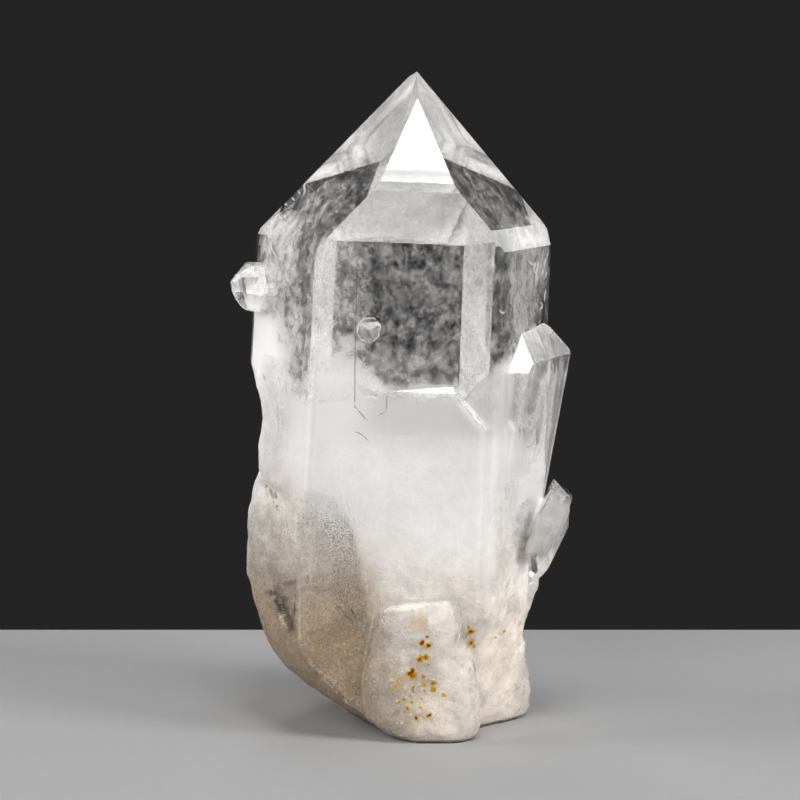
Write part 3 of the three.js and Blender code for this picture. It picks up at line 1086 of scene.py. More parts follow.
@dataclass
class Sections:
    """The solid's sections around a leaning middle line, from which inner layers are made.

    Fields:
        stone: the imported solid.
        heights: the sections' heights in metres.
        sectors: how many points around.
        knots: heights at which the middle line bends, and its x and y there, in stone millimetres.
        least: no layer is drawn in past this share of the full reach.
    """

    stone: Triangles
    heights: np.ndarray
    sectors: int
    knots: tuple[tuple, tuple, tuple] = ((0, 25, 60, 150, 194), (10, 2, 0, 2, 5), (-3, 1, 4, 0, 0))
    least: float = 0.05

    def __post_init__(self) -> None:
        """Measures how far the solid reaches at each height and heading."""
        self.headings = np.linspace(0, 2 * np.pi, self.sectors, endpoint=False)
        self.ray = np.stack([np.cos(self.headings), np.sin(self.headings)], 1)
        middles = self.middle(self.heights)
        self.full = np.stack([self.stone.reach(h, m, self.headings) for h, m in zip(self.heights, middles)])

    def middle(self, height: np.ndarray) -> np.ndarray:
        """The point that the headings start from at each height, in metres in the frame.

        Args:
            height: heights in metres in the frame.

        Returns:
            The x and y for each height.
        """
        z = (height - self.stone.shift[2]) / MM
        x, y = [np.interp(z, self.knots[0], bend) for bend in self.knots[1:]]
        return np.stack([x, y], -1) * MM + self.stone.shift[:2]

    def drawn_in(self, gap: np.ndarray) -> np.ndarray:
        """The reach to the surface or to a hidden side, less a gap in metres for each height or point.

        Args:
            gap: how far under the surface, in metres, at each height or point.

        Returns:
            Distances from the middle line, shape (heights, sectors).
        """
        middle = np.column_stack([self.middle(self.heights), self.heights])
        middle = (middle - self.stone.shift) / MM
        reach = self.full
        for side in SIDES:
            reach = np.minimum(reach, side.room(middle, self.ray) * MM)
        return np.maximum(reach - gap, self.full * self.least)

    def points(self, reach: np.ndarray, heights: np.ndarray) -> np.ndarray:
        """Places in the frame at a reach and height for each heading, shape (rings, sectors, 3).

        Args:
            reach: distances from the middle line, in metres.
            heights: heights in metres in the frame.

        Returns:
            The points.
        """
        centre = self.middle(heights)
        x, y = [centre[..., i] + reach * self.ray[None, :, i] for i in range(2)]
        return np.stack([x, y, heights * np.ones_like(reach)], -1)


# Where the left bulge is worn and sandy, where it has painted shade tinted brown and a little painted
# light, and where the roof has painted shade and the lobe and the left wall painted light.
WORN_BULGE = Cloud((-40, -20, 62), (12, 24, 24), 1, 0.4)
SANDY_BULGE = Cloud((-42, -14, 56), (14, 20, 24), 0.62, 0.5)
SHADED_BROWN_BULGE = Cloud((-38, -24, 58), (20, 22, 30), 0.20, 0.5)
PAINTED_LIGHT_BULGE = Cloud((-36, -24, 58), (18, 20, 28), 0.03, 0.5)
PAINTED_SHADE_ROOF = Cloud((2, 22, 98), (34, 17, 10), 0.46, 0.5)
PAINTED_LIGHT_LOBE = Cloud((32, -16, 22), (14, 18, 32), 0.32, 0.5)
PAINTED_LIGHT_WALL = Cloud((-42, -12, 104), (14, 24, 24), 0.14, 0.5)

# Heights of the sandy patch's rim on its right, and its x there.
SAND_RIM = ((20, 37, 55, 76, 84), (-6, -8, -10, -16, -24))


@dataclass
class MilkBody:
    """The milk that fills the lower stone, up to an uneven top with rounded shoulders.

    Fields:
        stone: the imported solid.
        top: the level it fills to.
        under: how far its roof stays under that level, in millimetres.
        gaps: heights and how far it stays under the surface there, both in millimetres.
        shoulder: the radius in metres that rounds its top rim.
        sunk: how far under the surface the breaks' relief lies, in millimetres.
        foot, head: the heights between which the solid is measured, in millimetres.
        sectors, levels: how many points around and up the side.
        turn, roof: how many points round the shoulder and across the top.
        extra: how many more levels are measured than built.
    """

    stone: Triangles
    top: MilkTop
    under: float = 1.0
    gaps: tuple[tuple, tuple] = ((0, 50, 84, 94, 104, 130), (0.6, 0.65, 2.02, 2.3, 5.0, 5.0))
    shoulder: float = 0.005
    sunk: float = 0.15
    foot: float = 0.9
    head: float = 136
    sectors: int = 380
    levels: int = 150
    turn: int = 8
    roof: int = 36
    extra: int = 20

    def roof_at(self, place: np.ndarray) -> np.ndarray:
        """The roof's height in metres in the frame."""
        return (self.top.at(place) - self.under) * MM + self.stone.shift[2]

    def build(self) -> bpy.types.Object:
        """Side rings up to the shoulder, a quarter circle round it, and roof rings from there inwards.

        Returns:
            The milk.
        """
        heights = np.linspace(self.foot * MM, self.head * MM, self.levels + self.extra)
        cuts = Sections(self.stone, heights, self.sectors)
        skin = cuts.points(cuts.full, heights[:, None])
        outer = (skin - self.stone.shift) / MM
        close = np.maximum(smooth(10, 24, outer[..., 1]), smooth(-35, -40, outer[..., 0]))
        gap = np.interp(heights / MM, *self.gaps)[:, None] * (1 - 0.75 * close) * MM
        lumps = break_relief(skin) - self.sunk * MM
        broken = np.maximum(smooth(50, 38, outer[..., 2]), smooth(-24, -30, outer[..., 0]))
        reach = cuts.drawn_in(gap - lumps * broken * smooth(84, 70, outer[..., 2]))
        wall = (cuts.points(reach, heights[:, None]) - self.stone.shift) / MM
        past = (heights[:, None] > self.roof_at(wall) - self.shoulder).argmax(0)
        crown = heights[past]
        share = np.linspace(0, 1, self.levels)[:, None]
        z = heights[0] + share * (crown[None] - heights[0])
        r = np.stack([np.interp(z[:, i], heights, reach[:, i]) for i in range(self.sectors)], 1)
        angle = np.linspace(0, np.pi / 2, self.turn + 1)[1:, None]
        z = np.concatenate([z, crown[None] + self.shoulder * np.sin(angle)])
        r = np.concatenate([r, r[-1:] - self.shoulder * (1 - np.cos(angle))])
        side = cuts.points(r, z)
        inwards = np.linspace(1, 0.02, self.roof)[1:, None, None]
        rim = side[-1]
        roof = rim.mean(0) + inwards * (rim[None] - rim.mean(0))
        near = smooth(1.0, 0.8, inwards[..., 0])
        roof[..., 2] = (1 - near) * rim[None, :, 2] + near * self.roof_at((roof - self.stone.shift) / MM)
        rings = np.concatenate([side, roof])
        place = (rings - self.stone.shift) / MM
        height = place[..., 2]
        sand = sand_at(place) * smooth(70, 46, height)
        under = shade_under_at(place)
        worn = np.maximum(smooth(66, 40, height), WORN_BULGE.at(place))
        # These marks carry painted shade underneath and in the pits, painted light and shade in the
        # brightness, and painted highlights, besides the sand and the wear.
        marks = {
            "sand": sand, "under": under, "tone_and_painted_light": tone_and_painted_light_at(place), "worn": np.maximum(worn, 0.25),
            "pit_shade": strongest(PIT_SHADE, place), "painted_glint": strongest(PAINTED_GLINT_MARKS, place),
        }
        return shell("milk", rings, marks)


def sand_at(place: np.ndarray) -> np.ndarray:
    """How sandy the stone is: most just inside a curved rim low on the left, less at the bulge.

    Args:
        place: places in stone millimetres, shape (..., 3).

    Returns:
        One number for each place.
    """
    x, y, height = place[..., 0], place[..., 1], place[..., 2]
    rim = np.interp(height, *SAND_RIM)
    shake = 1.6 * rough(place * MM, 0.006, 21, 3)
    inside = rim - x + shake
    sand = smooth(-0.8, 2.2, inside) * smooth(34, 8, inside) * smooth(82, 62, height + 2 * shake)
    sand = sand * smooth(22, 36, height) * smooth(-14, -26, y)
    return np.maximum(sand, SANDY_BULGE.at(place))


def shade_under_at(place: np.ndarray) -> np.ndarray:
    """Painted shade, tinted brown, underneath: most low on the left and behind, nothing above about 65 mm.

    Args:
        place: places in stone millimetres, shape (..., 3).

    Returns:
        One number for each place.
    """
    x, y, height = place[..., 0], place[..., 1], place[..., 2]
    shake = 3.0 * rough(place * MM, 0.012, 21, 3)
    left = smooth(65, 29, height + shake) * smooth(2, -13, x + shake)
    front = 0.50 * smooth(28, 8, height + shake) * smooth(18, -2, x)
    behind = 0.5 * smooth(50, 20, height + shake) * smooth(0, 20, y)
    return np.max([left, front, behind, SHADED_BROWN_BULGE.at(place)], axis=0)


def tone_and_painted_light_at(place: np.ndarray) -> np.ndarray:
    """How bright the milk is: less near its top in front, where it thins, painted shade on its roof, and
    painted light at the foot and sides.

    Args:
        place: places in stone millimetres, shape (..., 3).

    Returns:
        One number for each place.
    """
    x, y, height = place[..., 0], place[..., 1], place[..., 2]
    front = 0.21 * smooth(84, 96, height) * smooth(-16, -4, x) * smooth(10, 0, y)
    foot = 0.12 * smooth(-14, 12, x) * smooth(84, 56, height)
    brighter = foot + PAINTED_LIGHT_LOBE.at(place) + PAINTED_LIGHT_BULGE.at(place) + PAINTED_LIGHT_WALL.at(place)
    return 1 - front - PAINTED_SHADE_ROOF.at(place) + brighter


# Heights and how far each veil lies under the faces there, and where the two veils are thicker.
OUTER_GAPS = ((80, 95, 101, 107, 113, 120, 130), (2.28, 2.18, 2.26, 2.5, 2.9, 3.4, 4.0))
INNER_GAPS = ((90, 190), (9, 12))
FRONT_CLOUDS = (
    Cloud((-18, -31, 118), (13.0, 16, 42), 0.50, 0.35), Cloud((-18, -31, 106), (21, 16, 32), 1.2, 1.0),
    Cloud((26, -30, 125), (7, 12, 30), 0.40, 0.7), Cloud((10, -30, 132), (20, 12, 4.5), 0.42, 0.8),
    Cloud((16, -30, 138), (10, 12, 8), 0.42, 0.8), Cloud((-34, -12, 142), (11, 24, 24), 0.72, 0.6),
    Cloud((-44, -12, 114), (25, 40, 30), 1.35, 0.85), Cloud((38, -14, 132), (14, 22, 34), 0.64, 0.5),
    Cloud((17, -31, 118), (9, 12, 34), 0.34, 0.8), Cloud((0, 31, 101), (36, 12, 16), 1.3, 0.9),
    Cloud((-18, 28, 112), (14, 14, 16), 0.7, 1.0), Cloud((14, 30, 108), (12, 12, 14), 0.6, 1.0),
    Cloud((8, -31, 110), (20, 12, 14), 0.42, 0.8), Cloud((-16, -31, 128), (14, 14, 30), 0.78, 1.0),
    Cloud((-33, -22, 124), (12, 15, 30), 1.2, 1.0), Cloud((-4, -31, 114), (15, 12, 22), 0.46, 1.0),
    Cloud((-26, -14, 156), (16, 18, 14), 0.40, 0.6), Cloud((26, -16, 158), (14, 16, 12), 0.28, 0.6),
)
DEEP_CLOUDS = (
    Cloud((0, 0, 100), (40, 30, 14), 0.5, 0.7), Cloud((-20, 0, 130), (20, 30, 24), 0.4, 0.7),
)


@dataclass
class VeilShell:
    """A veil that follows the stone's own faces at some depth, as growth bands do.

    Fields:
        stone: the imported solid.
        name: the piece's name.
        gaps: heights and how far it lies under the surface there, both in millimetres.
        low, high: the heights where it starts and ends, in metres.
        thin: how thick it is everywhere.
        clouds: where it is thicker.
        top: the milk's level, under which it closes.
        fade: over how many millimetres it opens above that level.
        sectors, levels: how many points around and up.
    """

    stone: Triangles
    name: str
    gaps: tuple[tuple, tuple]
    low: float
    high: float
    thin: float
    clouds: tuple[Cloud, ...]
    top: MilkTop
    fade: float = 9.0
    sectors: int = 280
    levels: int = 150

    def build(self) -> bpy.types.Object:
        """Rings at even heights, each the stone's section drawn in by the gap, wavy in the clear part.

        Returns:
            The veil.
        """
        heights = np.linspace(self.low, self.high, self.levels)
        cuts = Sections(self.stone, heights, self.sectors)
        outer = cuts.points(cuts.full, heights[:, None])
        wave = rough(outer, 0.02, 11, 2)
        across = (outer[..., 0] - self.stone.shift[0]) / MM
        right = smooth(36, 41, across) * smooth(126, 134, heights[:, None] / MM)
        close = 0.75 * np.maximum(smooth(-35, -40, across), right)
        gap = np.interp(heights / MM, *self.gaps)[:, None] * (1 - close) * MM
        loose = 0.4 * smooth(98, 124, heights / MM)[:, None]
        reach = cuts.drawn_in(gap * (1 + loose * wave))
        rings = cuts.points(reach, heights[:, None])
        place = (rings - self.stone.shift) / MM
        share = np.linspace(0, 1, self.levels)[:, None]
        thin = self.thin * (1 - 0.55 * smooth(140, 160, place[..., 2]))
        thin = thin * (1 - 0.45 * smooth(0, 12, place[..., 1]))
        thick = np.maximum(strongest(self.clouds, place), thin) * smooth(1.0, 0.85, share)
        above = place[..., 2] - self.top.at(place)
        beside = np.maximum(smooth(36.5, 33.5, place[..., 0]), smooth(98, 104, place[..., 2]))
        thick = np.maximum(thick, 1.6 * smooth(self.fade, -1.0, above) * beside)
        return shell(self.name, rings, {"thick": thick, "tone_and_painted_light": tone_and_painted_light_at(place)})


def pressed(mesh: bpy.types.Mesh, clear: bpy.types.Object, lift: float) -> bpy.types.Mesh:
    """Moves each point of a mesh to the nearest place on the outer stone, and then off it.

    Args:
        mesh: points near the surface.
        clear: the outer stone.
        lift: how far over its surface the points end up, in metres.

    Returns:
        A new mesh.
    """
    loose = placed("loose", mesh)
    wrap = loose.modifiers.new("press", "SHRINKWRAP")
    wrap.target = clear
    wrap.wrap_method = "NEAREST_SURFACEPOINT"
    wrap.wrap_mode = "ABOVE_SURFACE"
    wrap.offset = lift
    bpy.context.view_layer.update()
    shaped = bpy.data.meshes.new_from_object(loose.evaluated_get(bpy.context.evaluated_depsgraph_get()))
    bpy.data.objects.remove(loose)
    return shaped


# Where the frost is thick: the left bulge, then the left edge, a strip on the right, and the right edge.
FROSTED_BULGE = Cloud((-40, -22, 50), (26, 26, 36), 0.72, 0.35)
FROSTED_EDGES = (
    Cloud((-38, -16, 96), (9, 14, 26), 0.40, 0.6),
    Cloud((27, -30, 108), (5, 6, 22), 0.45, 0.5),
    Cloud((32, -22, 62), (10, 14, 26), 0.35, 0.6),
)


@dataclass
class FrostSkin:
    """The etched skin on the breaks and the lower faces, with relief finer than the stone's own.

    Fields:
        stone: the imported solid.
        low, high: the heights where it starts and ends, in metres.
        lift: how far it stands over the stone at least, in metres.
        relief, wave: how far it goes up and down at most, and the step of that, in metres.
        longest: a mesh edge longer than this, in metres, spans a gap in the stone and is left out.
        least: where the frost is thinner than this, the skin is left out.
        sectors, levels: how many points around and up.
    """

    stone: Triangles
    low: float = 0.0006
    high: float = 0.112
    lift: float = 0.00002
    relief: float = 0.00022
    wave: float = 0.0020
    longest: float = 0.0035
    least: float = 0.02
    sectors: int = 420
    levels: int = 170

    def grain_at(self, place: np.ndarray) -> np.ndarray:
        """How thick the frost is: full on the bulge and low on the left, thin in front, none on top.

        Args:
            place: places in stone millimetres, shape (..., 3).

        Returns:
            One number for each place.
        """
        x, y, height = place[..., 0], place[..., 1], place[..., 2]
        shake = 3.0 * rough(place * MM, 0.011, 23, 3)
        foot = 0.66 * smooth(46, 34, height + shake) * (1 - 0.55 * smooth(-6, 14, x))
        left = FROSTED_BULGE.at(place) * (1 - 0.6 * smooth(56, 72, height))
        sandy = 0.55 * sand_at(place) * smooth(70, 44, height)
        grain = np.max([foot, left, strongest(FROSTED_EDGES, place), sandy], axis=0)
        return np.maximum(grain, 0.10 * smooth(86, 70, height))

    def build(self, clear: bpy.types.Object) -> bpy.types.Object:
        """Rings on the solid's sections, pressed onto the outer stone and then roughened outwards.

        Each point is lifted along its normal by the relief times a noise from 0 to 1, times the frost.
        A crest is a point that stands out from the mean of its four neighbours along its normal.

        Args:
            clear: the outer stone.

        Returns:
            The skin.
        """
        heights = np.linspace(self.low, self.high, self.levels)
        cuts = Sections(self.stone, heights, self.sectors)
        points = cuts.points(cuts.full, heights[:, None]).reshape(-1, 3)
        quads = wrapped_quads(self.levels, self.sectors)
        mesh = bpy.data.meshes.new("frost")
        mesh.from_pydata(points.tolist(), [], quads.tolist())
        laid = pressed(mesh, clear, self.lift)
        co = read(laid.vertices, "co", 3)
        normals = read(laid.vertices, "normal", 3)
        place = (co - self.stone.shift) / MM
        grain = self.grain_at(place)
        grid = co.reshape(self.levels, self.sectors, 3)
        around = (np.roll(grid, 1, 1) + np.roll(grid, -1, 1)) / 2
        above = grid.copy()
        above[1:-1] = (grid[2:] + grid[:-2]) / 2
        hollow = (((around + above) / 2 - grid).reshape(-1, 3) * normals).sum(1) / MM
        # Crests are where the frost's finish paints white sparkles as highlights.
        crest = smooth(0.035, 0.13, -hollow) * smooth(0.15, 0.4, grain)
        bumps = 0.5 + 0.5 * rough(co, self.wave, 51, 3)
        co = co + normals * (self.relief * bumps * smooth(0.1, 0.5, grain))[:, None]
        co = np.clip(co, *CORNERS)
        reach = np.linalg.norm(co[quads] - co[np.roll(quads, -1, 1)], axis=2).max(1)
        quads = quads[(reach < self.longest) & (grain[quads].max(1) > self.least)]
        used, index = np.unique(quads, return_inverse=True)
        marks = {"sand": sand_at(place[used]), "under": shade_under_at(place[used])}
        marks |= {"grain": np.maximum(grain, 0.8 * crest)[used], "crest": crest[used]}
        mesh = bpy.data.meshes.new("frost")
        mesh.from_pydata(co[used].tolist(), [], index.reshape(-1, 4).tolist())
        mesh.shade_smooth()
        keep(mesh, marks)
        return placed("frost", mesh)


class FrontView:
    """The outer stone as seen from the front, onto which small marks are laid.

    BEFORE is how far in front of the stone's axis each look starts, in metres.
    """

    BEFORE = 0.2

    def __init__(self, clear: bpy.types.Object) -> None:
        """Keeps the stone's triangles in a search tree.

        Args:
            clear: the outer stone.
        """
        mesh = clear.data
        points = [point.co for point in mesh.vertices]
        self.tree = BVHTree.FromPolygons(points, [face.vertices[:] for face in mesh.polygons])

    def lay(
        self, name: str, points: np.ndarray, faces: list, heart: np.ndarray, height: float
    ) -> bpy.types.Object:
        """Moves each point along Y onto the stone's front and then off it, and makes an object of them.

        Args:
            name: the piece's name.
            points: places near the surface, in metres in the frame.
            faces: the points of each face.
            heart: each point's strength, kept as an attribute.
            height: how far it ends up over the surface, in metres, less than 0 for under it.

        Returns:
            The new object.
        """
        laid = []
        for x, y, z in points:
            place, normal = self.tree.ray_cast(Vector((x, -self.BEFORE, z)), Vector((0, 1, 0)))[:2]
            laid.append((place + normal * height)[:] if place else (x, y, z))
        mesh = bpy.data.meshes.new(name)
        mesh.from_pydata(laid, [], faces)
        keep(mesh, {"heart": heart})
        return placed(name, mesh)


# Spots: x, y and height in stone millimetres, radius in millimetres, strength.
STAINS = (
    (0.0, -37.2, 19.4, 0.9, 0.50), (-1.5, -37.3, 17.3, 0.6, 0.45), (1.2, -37.3, 13.5, 0.5, 0.75),
    (2.9, -37.2, 14.4, 0.5, 0.50), (3.5, -37.2, 12.6, 0.4, 0.60), (9.6, -37.2, 18.5, 0.7, 0.68),
    (9.9, -37.2, 16.1, 0.8, 0.50), (7.0, -37.0, 20.3, 0.7, 0.55), (7.0, -36.9, 17.8, 0.8, 0.62),
    (3.2, -36.9, 21.1, 1.3, 1.05), (3.9, -36.9, 20.2, 0.9, 0.70), (5.8, -37.2, 25.3, 1.1, 0.80),
    (7.5, -37.1, 25.9, 0.8, 0.65), (6.6, -37.1, 30.2, 0.9, 1.10), (7.8, -37.0, 32.1, 0.5, 0.90),
    (8.2, -37.0, 29.5, 0.9, 1.00), (20.6, -34.2, 33.0, 0.9, 0.75), (20.7, -31.6, 29.1, 1.0, 0.85),
    (12.8, -37.5, 14.7, 0.7, 0.55), (2.0, -37.2, 10.8, 0.7, 0.70), (4.9, -37.5, 7.9, 0.6, 0.95),
    (8.7, -37.7, 8.8, 0.7, 1.20), (1.5, -37.3, 9.6, 0.4, 0.55), (6.4, -37.2, 13.5, 0.5, 0.50),
    (6.1, -37.5, 10.9, 0.6, 0.35), (-0.3, -37.3, 12.6, 0.4, 0.55), (-2.6, -37.3, 15.6, 0.6, 0.40),
    (-1.5, -37.2, 20.9, 0.5, 0.40), (3.8, -37.1, 17.0, 0.5, 0.50), (8.1, -37.2, 23.9, 0.5, 0.50),
    (30.6, -21.7, 30.5, 0.5, 0.60), (27.9, -24.0, 29.2, 0.5, 0.45), (20.0, -33.9, 34.4, 0.6, 0.60),
    (21.4, -30.9, 27.9, 0.8, 0.50),
)
TINTS = (
    (5.2, -36.5, 36.6, 6.0, 0.46), (7.0, -36.5, 35.2, 4.5, 0.42), (0.0, -37.2, 19.0, 5.5, 0.40),
    (7.0, -37.0, 23.5, 5.0, 0.34), (9.0, -37.0, 17.0, 4.0, 0.30), (5.0, -37.5, 9.0, 4.5, 0.28),
    (20.8, -32.5, 30.5, 4.0, 0.34),
)
# Painted shade: dark brown spots in the pits and creases of the left bulge.
CREASE_SHADE_SPOTS = (
    (-38.0, -19.5, 41.5, 2.4, 0.55), (-36.2, -21.5, 39.8, 3.0, 0.65), (-34.4, -22.5, 37.5, 3.4, 0.70),
    (-32.7, -30.0, 35.4, 3.2, 0.65), (-31.6, -32.5, 33.4, 2.6, 0.55), (-33.9, -23.0, 40.4, 2.6, 0.45),
)
# Painted light: pale patches over dark places beside the two side crystals.
PAINTED_LIGHT_PATCHES = (
    (37.3, -20, 68.0, 2.4, 0.7), (36.4, -20, 64.2, 2.8, 0.9), (35.8, -20, 60.0, 2.9, 0.9),
    (35.5, -20, 55.8, 2.8, 0.9), (36.0, -20, 52.2, 2.4, 0.7), (34.0, -24, 107.5, 2.0, 0.7),
    (34.1, -24, 103.5, 2.2, 0.8), (34.3, -24, 99.5, 2.2, 0.8), (34.5, -24, 95.5, 2.0, 0.7),
)


@dataclass
class Flecks:
    """Flat, ragged spots that lie on the outer stone's surface.

    Fields:
        name: the piece's name.
        stone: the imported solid.
        spots: each spot's middle in stone millimetres, radius in millimetres, and strength.
        height: how far they stand over the surface, in metres.
        spread: how much wider than its radius each is laid.
        ragged, step: how much the noise swings the radius, and how far apart its lumps are, in metres.
        limits: the smallest and the greatest share of its radius that a spot reaches.
        rings, spokes: how many points from the middle to the rim and around.
    """

    name: str
    stone: Triangles
    spots: tuple[tuple[float, ...], ...] | np.ndarray
    height: float
    spread: float
    ragged: float = 0.9
    step: float = 0.0012
    limits: tuple[float, float] = (0.35, 1.8)
    rings: int = 8
    spokes: int = 28

    def build(self, front: FrontView) -> bpy.types.Object:
        """Discs that face the front, then laid onto the outer stone.

        A disc's points are at radius r times cosine and sine of the angle, along X and Z, with r swung by
        slow noise. Its strength falls smoothly from the spot's own at the middle to 0 at the rim.

        Args:
            front: the outer stone as seen from the front.

        Returns:
            The spots, as one piece.
        """
        spots = np.array(self.spots)
        share = np.linspace(0.02, 1, self.rings)
        turn = np.linspace(0, 2 * np.pi, self.spokes, endpoint=False)
        radius = self.spread * spots[:, 3, None, None] * share[None, :, None] * np.ones(self.spokes)
        points = np.stack([radius * np.cos(turn), np.zeros_like(radius), radius * np.sin(turn)], -1)
        seed = points + 7 * spots[:, None, None, :3]
        swing = 1 + self.ragged * rough(seed * MM, self.step, 61, 2)
        points = points * np.clip(swing, *self.limits)[..., None]
        points = ((points + spots[:, None, None, :3]) * MM + self.stone.shift).reshape(-1, 3)
        heart = spots[:, 4, None, None] * smooth(1.0, 0.0, share)[None, :, None] * np.ones(self.spokes)
        index = np.arange(len(points)).reshape(len(spots), self.rings, self.spokes)
        after = np.roll(index, -1, 2)
        quads = np.stack([index[:, :-1], after[:, :-1], after[:, 1:], index[:, 1:]], -1).reshape(-1, 4)
        hubs = index[:, 0]
        faces = quads.tolist() + hubs[:, ::-1].tolist()
        return front.lay(self.name, points, faces, heart.ravel(), self.height)


# Lines: the points that each one runs through, in stone millimetres.
CRACKS = (
    ((-12.3, -35.1, 141.0), (-12.9, -35.0, 117.0), (-13.1, -34.8, 99.4), (-9.5, -34.6, 95.3)),
    ((-3.7, -34.5, 103.0), (-4.0, -34.4, 98.0)), ((-4.0, -34.4, 97.9), (-6.4, -34.5, 96.7)),
    ((-13.2, -34.7, 92.1), (-11.5, -34.7, 91.6), (-9.0, -34.6, 89.2)),
    ((-5.2, -34.6, 39.4), (-6.1, -34.6, 37.1), (-3.8, -36.2, 34.6), (0.3, -36.6, 31.4)),
    ((29.8, -26.8, 68.8), (29.5, -26.9, 67.9)), ((30.9, -25.4, 71.2), (30.8, -25.4, 70.5)),
    ((43.0, -6.1, 141.6), (42.4, -7.1, 139.0)),
    ((41.4, -8.6, 135.0), (40.8, -9.5, 131.0), (41.5, -8.0, 127.9)),
    ((39.9, -11.2, 129.4), (40.6, -9.7, 126.3)), ((42.2, -6.5, 124.2), (41.9, -6.8, 120.6)),
    ((-37.3, -14.9, 145.4), (-37.3, -16.4, 141.7)), ((-40.5, -14.0, 106.1), (-39.6, -15.6, 104.0)),
    ((-8.0, -34.9, 139.5), (-7.4, -34.9, 135.2), (-7.7, -34.9, 130.9), (-6.9, -34.8, 126.6)),
)
# Painted highlights: white lines on the chipped edges and nicks, for the light that they catch.
NICK_HIGHLIGHTS = (
    ((-27.9, -5.1, 162.1), (-28.3, -6.6, 160.8), (-27.9, -9.1, 159.5), (-28.5, -9.9, 158.4)),
    ((-37.9, -14.4, 144.1), (-37.3, -16.1, 142.5), (-36.0, -18.4, 141.0), (-34.5, -20.9, 140.4)),
    ((-38.5, -14.0, 142.9), (-37.6, -15.9, 140.8)), ((-36.8, -5.2, 153.3), (-36.1, -8.1, 152.1)),
    ((-34.1, -5.1, 155.9), (-33.4, -7.2, 155.2)), ((-32.0, -6.0, 157.5), (-31.0, -8.5, 156.8)),
    ((-30.2, -5.6, 159.5), (-29.3, -8.5, 158.6)), ((-34.2, -10.1, 152.5), (-33.3, -12.6, 151.9)),
    (
        (37.6, -16.2, 139.9), (38.8, -13.7, 138.5), (39.8, -11.9, 138.9), (39.2, -13.0, 137.0),
        (40.1, -11.0, 135.3),
    ),
    ((40.7, -10.1, 139.3), (39.8, -11.5, 133.0)),
    ((43.9, -4.2, 141.4), (42.7, -6.4, 138.4), (42.1, -7.4, 134.9)),
    ((43.4, -5.0, 135.6), (42.7, -6.0, 133.3)), ((43.1, -5.2, 130.5), (42.8, -5.5, 126.7)),
    ((41.5, -7.9, 127.0), (42.2, -6.6, 125.4), (41.2, -8.3, 124.4)),
    ((28.7, -31.8, 127.1), (29.6, -30.5, 126.1), (30.5, -28.8, 126.4)),
    ((-18.6, -35.2, 115.9), (-16.9, -35.1, 115.1), (-15.2, -35.0, 115.6)),
    ((-19.7, -35.3, 131.5), (-18.9, -35.3, 130.1), (-17.4, -35.2, 129.5)),
    ((30.8, -23.0, 41.0), (32.1, -20.7, 42.9)), ((33.3, -18.4, 43.6), (34.9, -15.6, 45.5)),
    ((32.1, -20.5, 39.6), (33.7, -17.6, 41.1)), ((34.2, -16.8, 46.9), (35.8, -14.4, 48.6)),
    (
        (14.9, -34.8, 103.7), (17.2, -35.0, 101.2), (19.5, -35.2, 98.3), (22.4, -35.0, 95.1),
        (25.3, -33.8, 92.0),
    ),
    ((-33.3, -25.3, 106.5), (-33.0, -26.1, 101.3)), ((-36.1, -21.4, 98.6), (-35.5, -22.9, 91.5)),
)
# Painted highlights along crests, ridges and edges.
RIDGE_HIGHLIGHTS = (
    (
        (-4.6, -34.1, 41.5), (0.0, -34.3, 41.9), (5.8, -34.6, 42.5), (11.6, -34.8, 43.2),
        (15.9, -35.0, 44.1),
    ),
    (
        (-4.6, -34.1, 41.3), (-5.5, -34.5, 38.1), (-5.5, -35.3, 36.5), (-2.9, -36.3, 34.3),
        (0.0, -36.6, 31.4),
    ),
    ((16.2, -35.0, 43.5), (17.1, -35.1, 39.1), (17.7, -35.1, 34.6), (16.8, -35.4, 30.3)),
    ((16.0, -36.5, 25.8), (17.7, -35.5, 26.7)), ((14.2, -36.6, 28.8), (15.1, -36.4, 28.4)),
    ((17.7, -36.0, 24.2), (19.2, -35.1, 23.7)), ((15.8, -36.5, 26.2), (16.4, -36.3, 25.0)),
    (
        (21.4, -27.9, 23.8), (22.9, -24.9, 19.2), (24.2, -21.8, 13.7), (25.5, -19.3, 10.0),
        (26.1, -17.6, 6.6),
    ),
    ((24.2, -21.8, 12.7), (25.5, -19.3, 9.0)), ((35.2, -10.7, 13.5), (35.3, -10.1, 10.9)),
    ((31.1, -22.6, 43.9), (32.7, -19.8, 46.9)),
    (
        (-12.3, -35.0, 120.8), (-12.0, -35.0, 123.4), (-10.3, -34.9, 125.1), (-7.4, -34.8, 125.1),
        (-5.7, -34.7, 122.8), (-6.3, -34.7, 119.9), (-8.0, -35.2, 118.5), (-11.2, -34.9, 118.8),
        (-12.3, -35.0, 120.8),
    ),
)
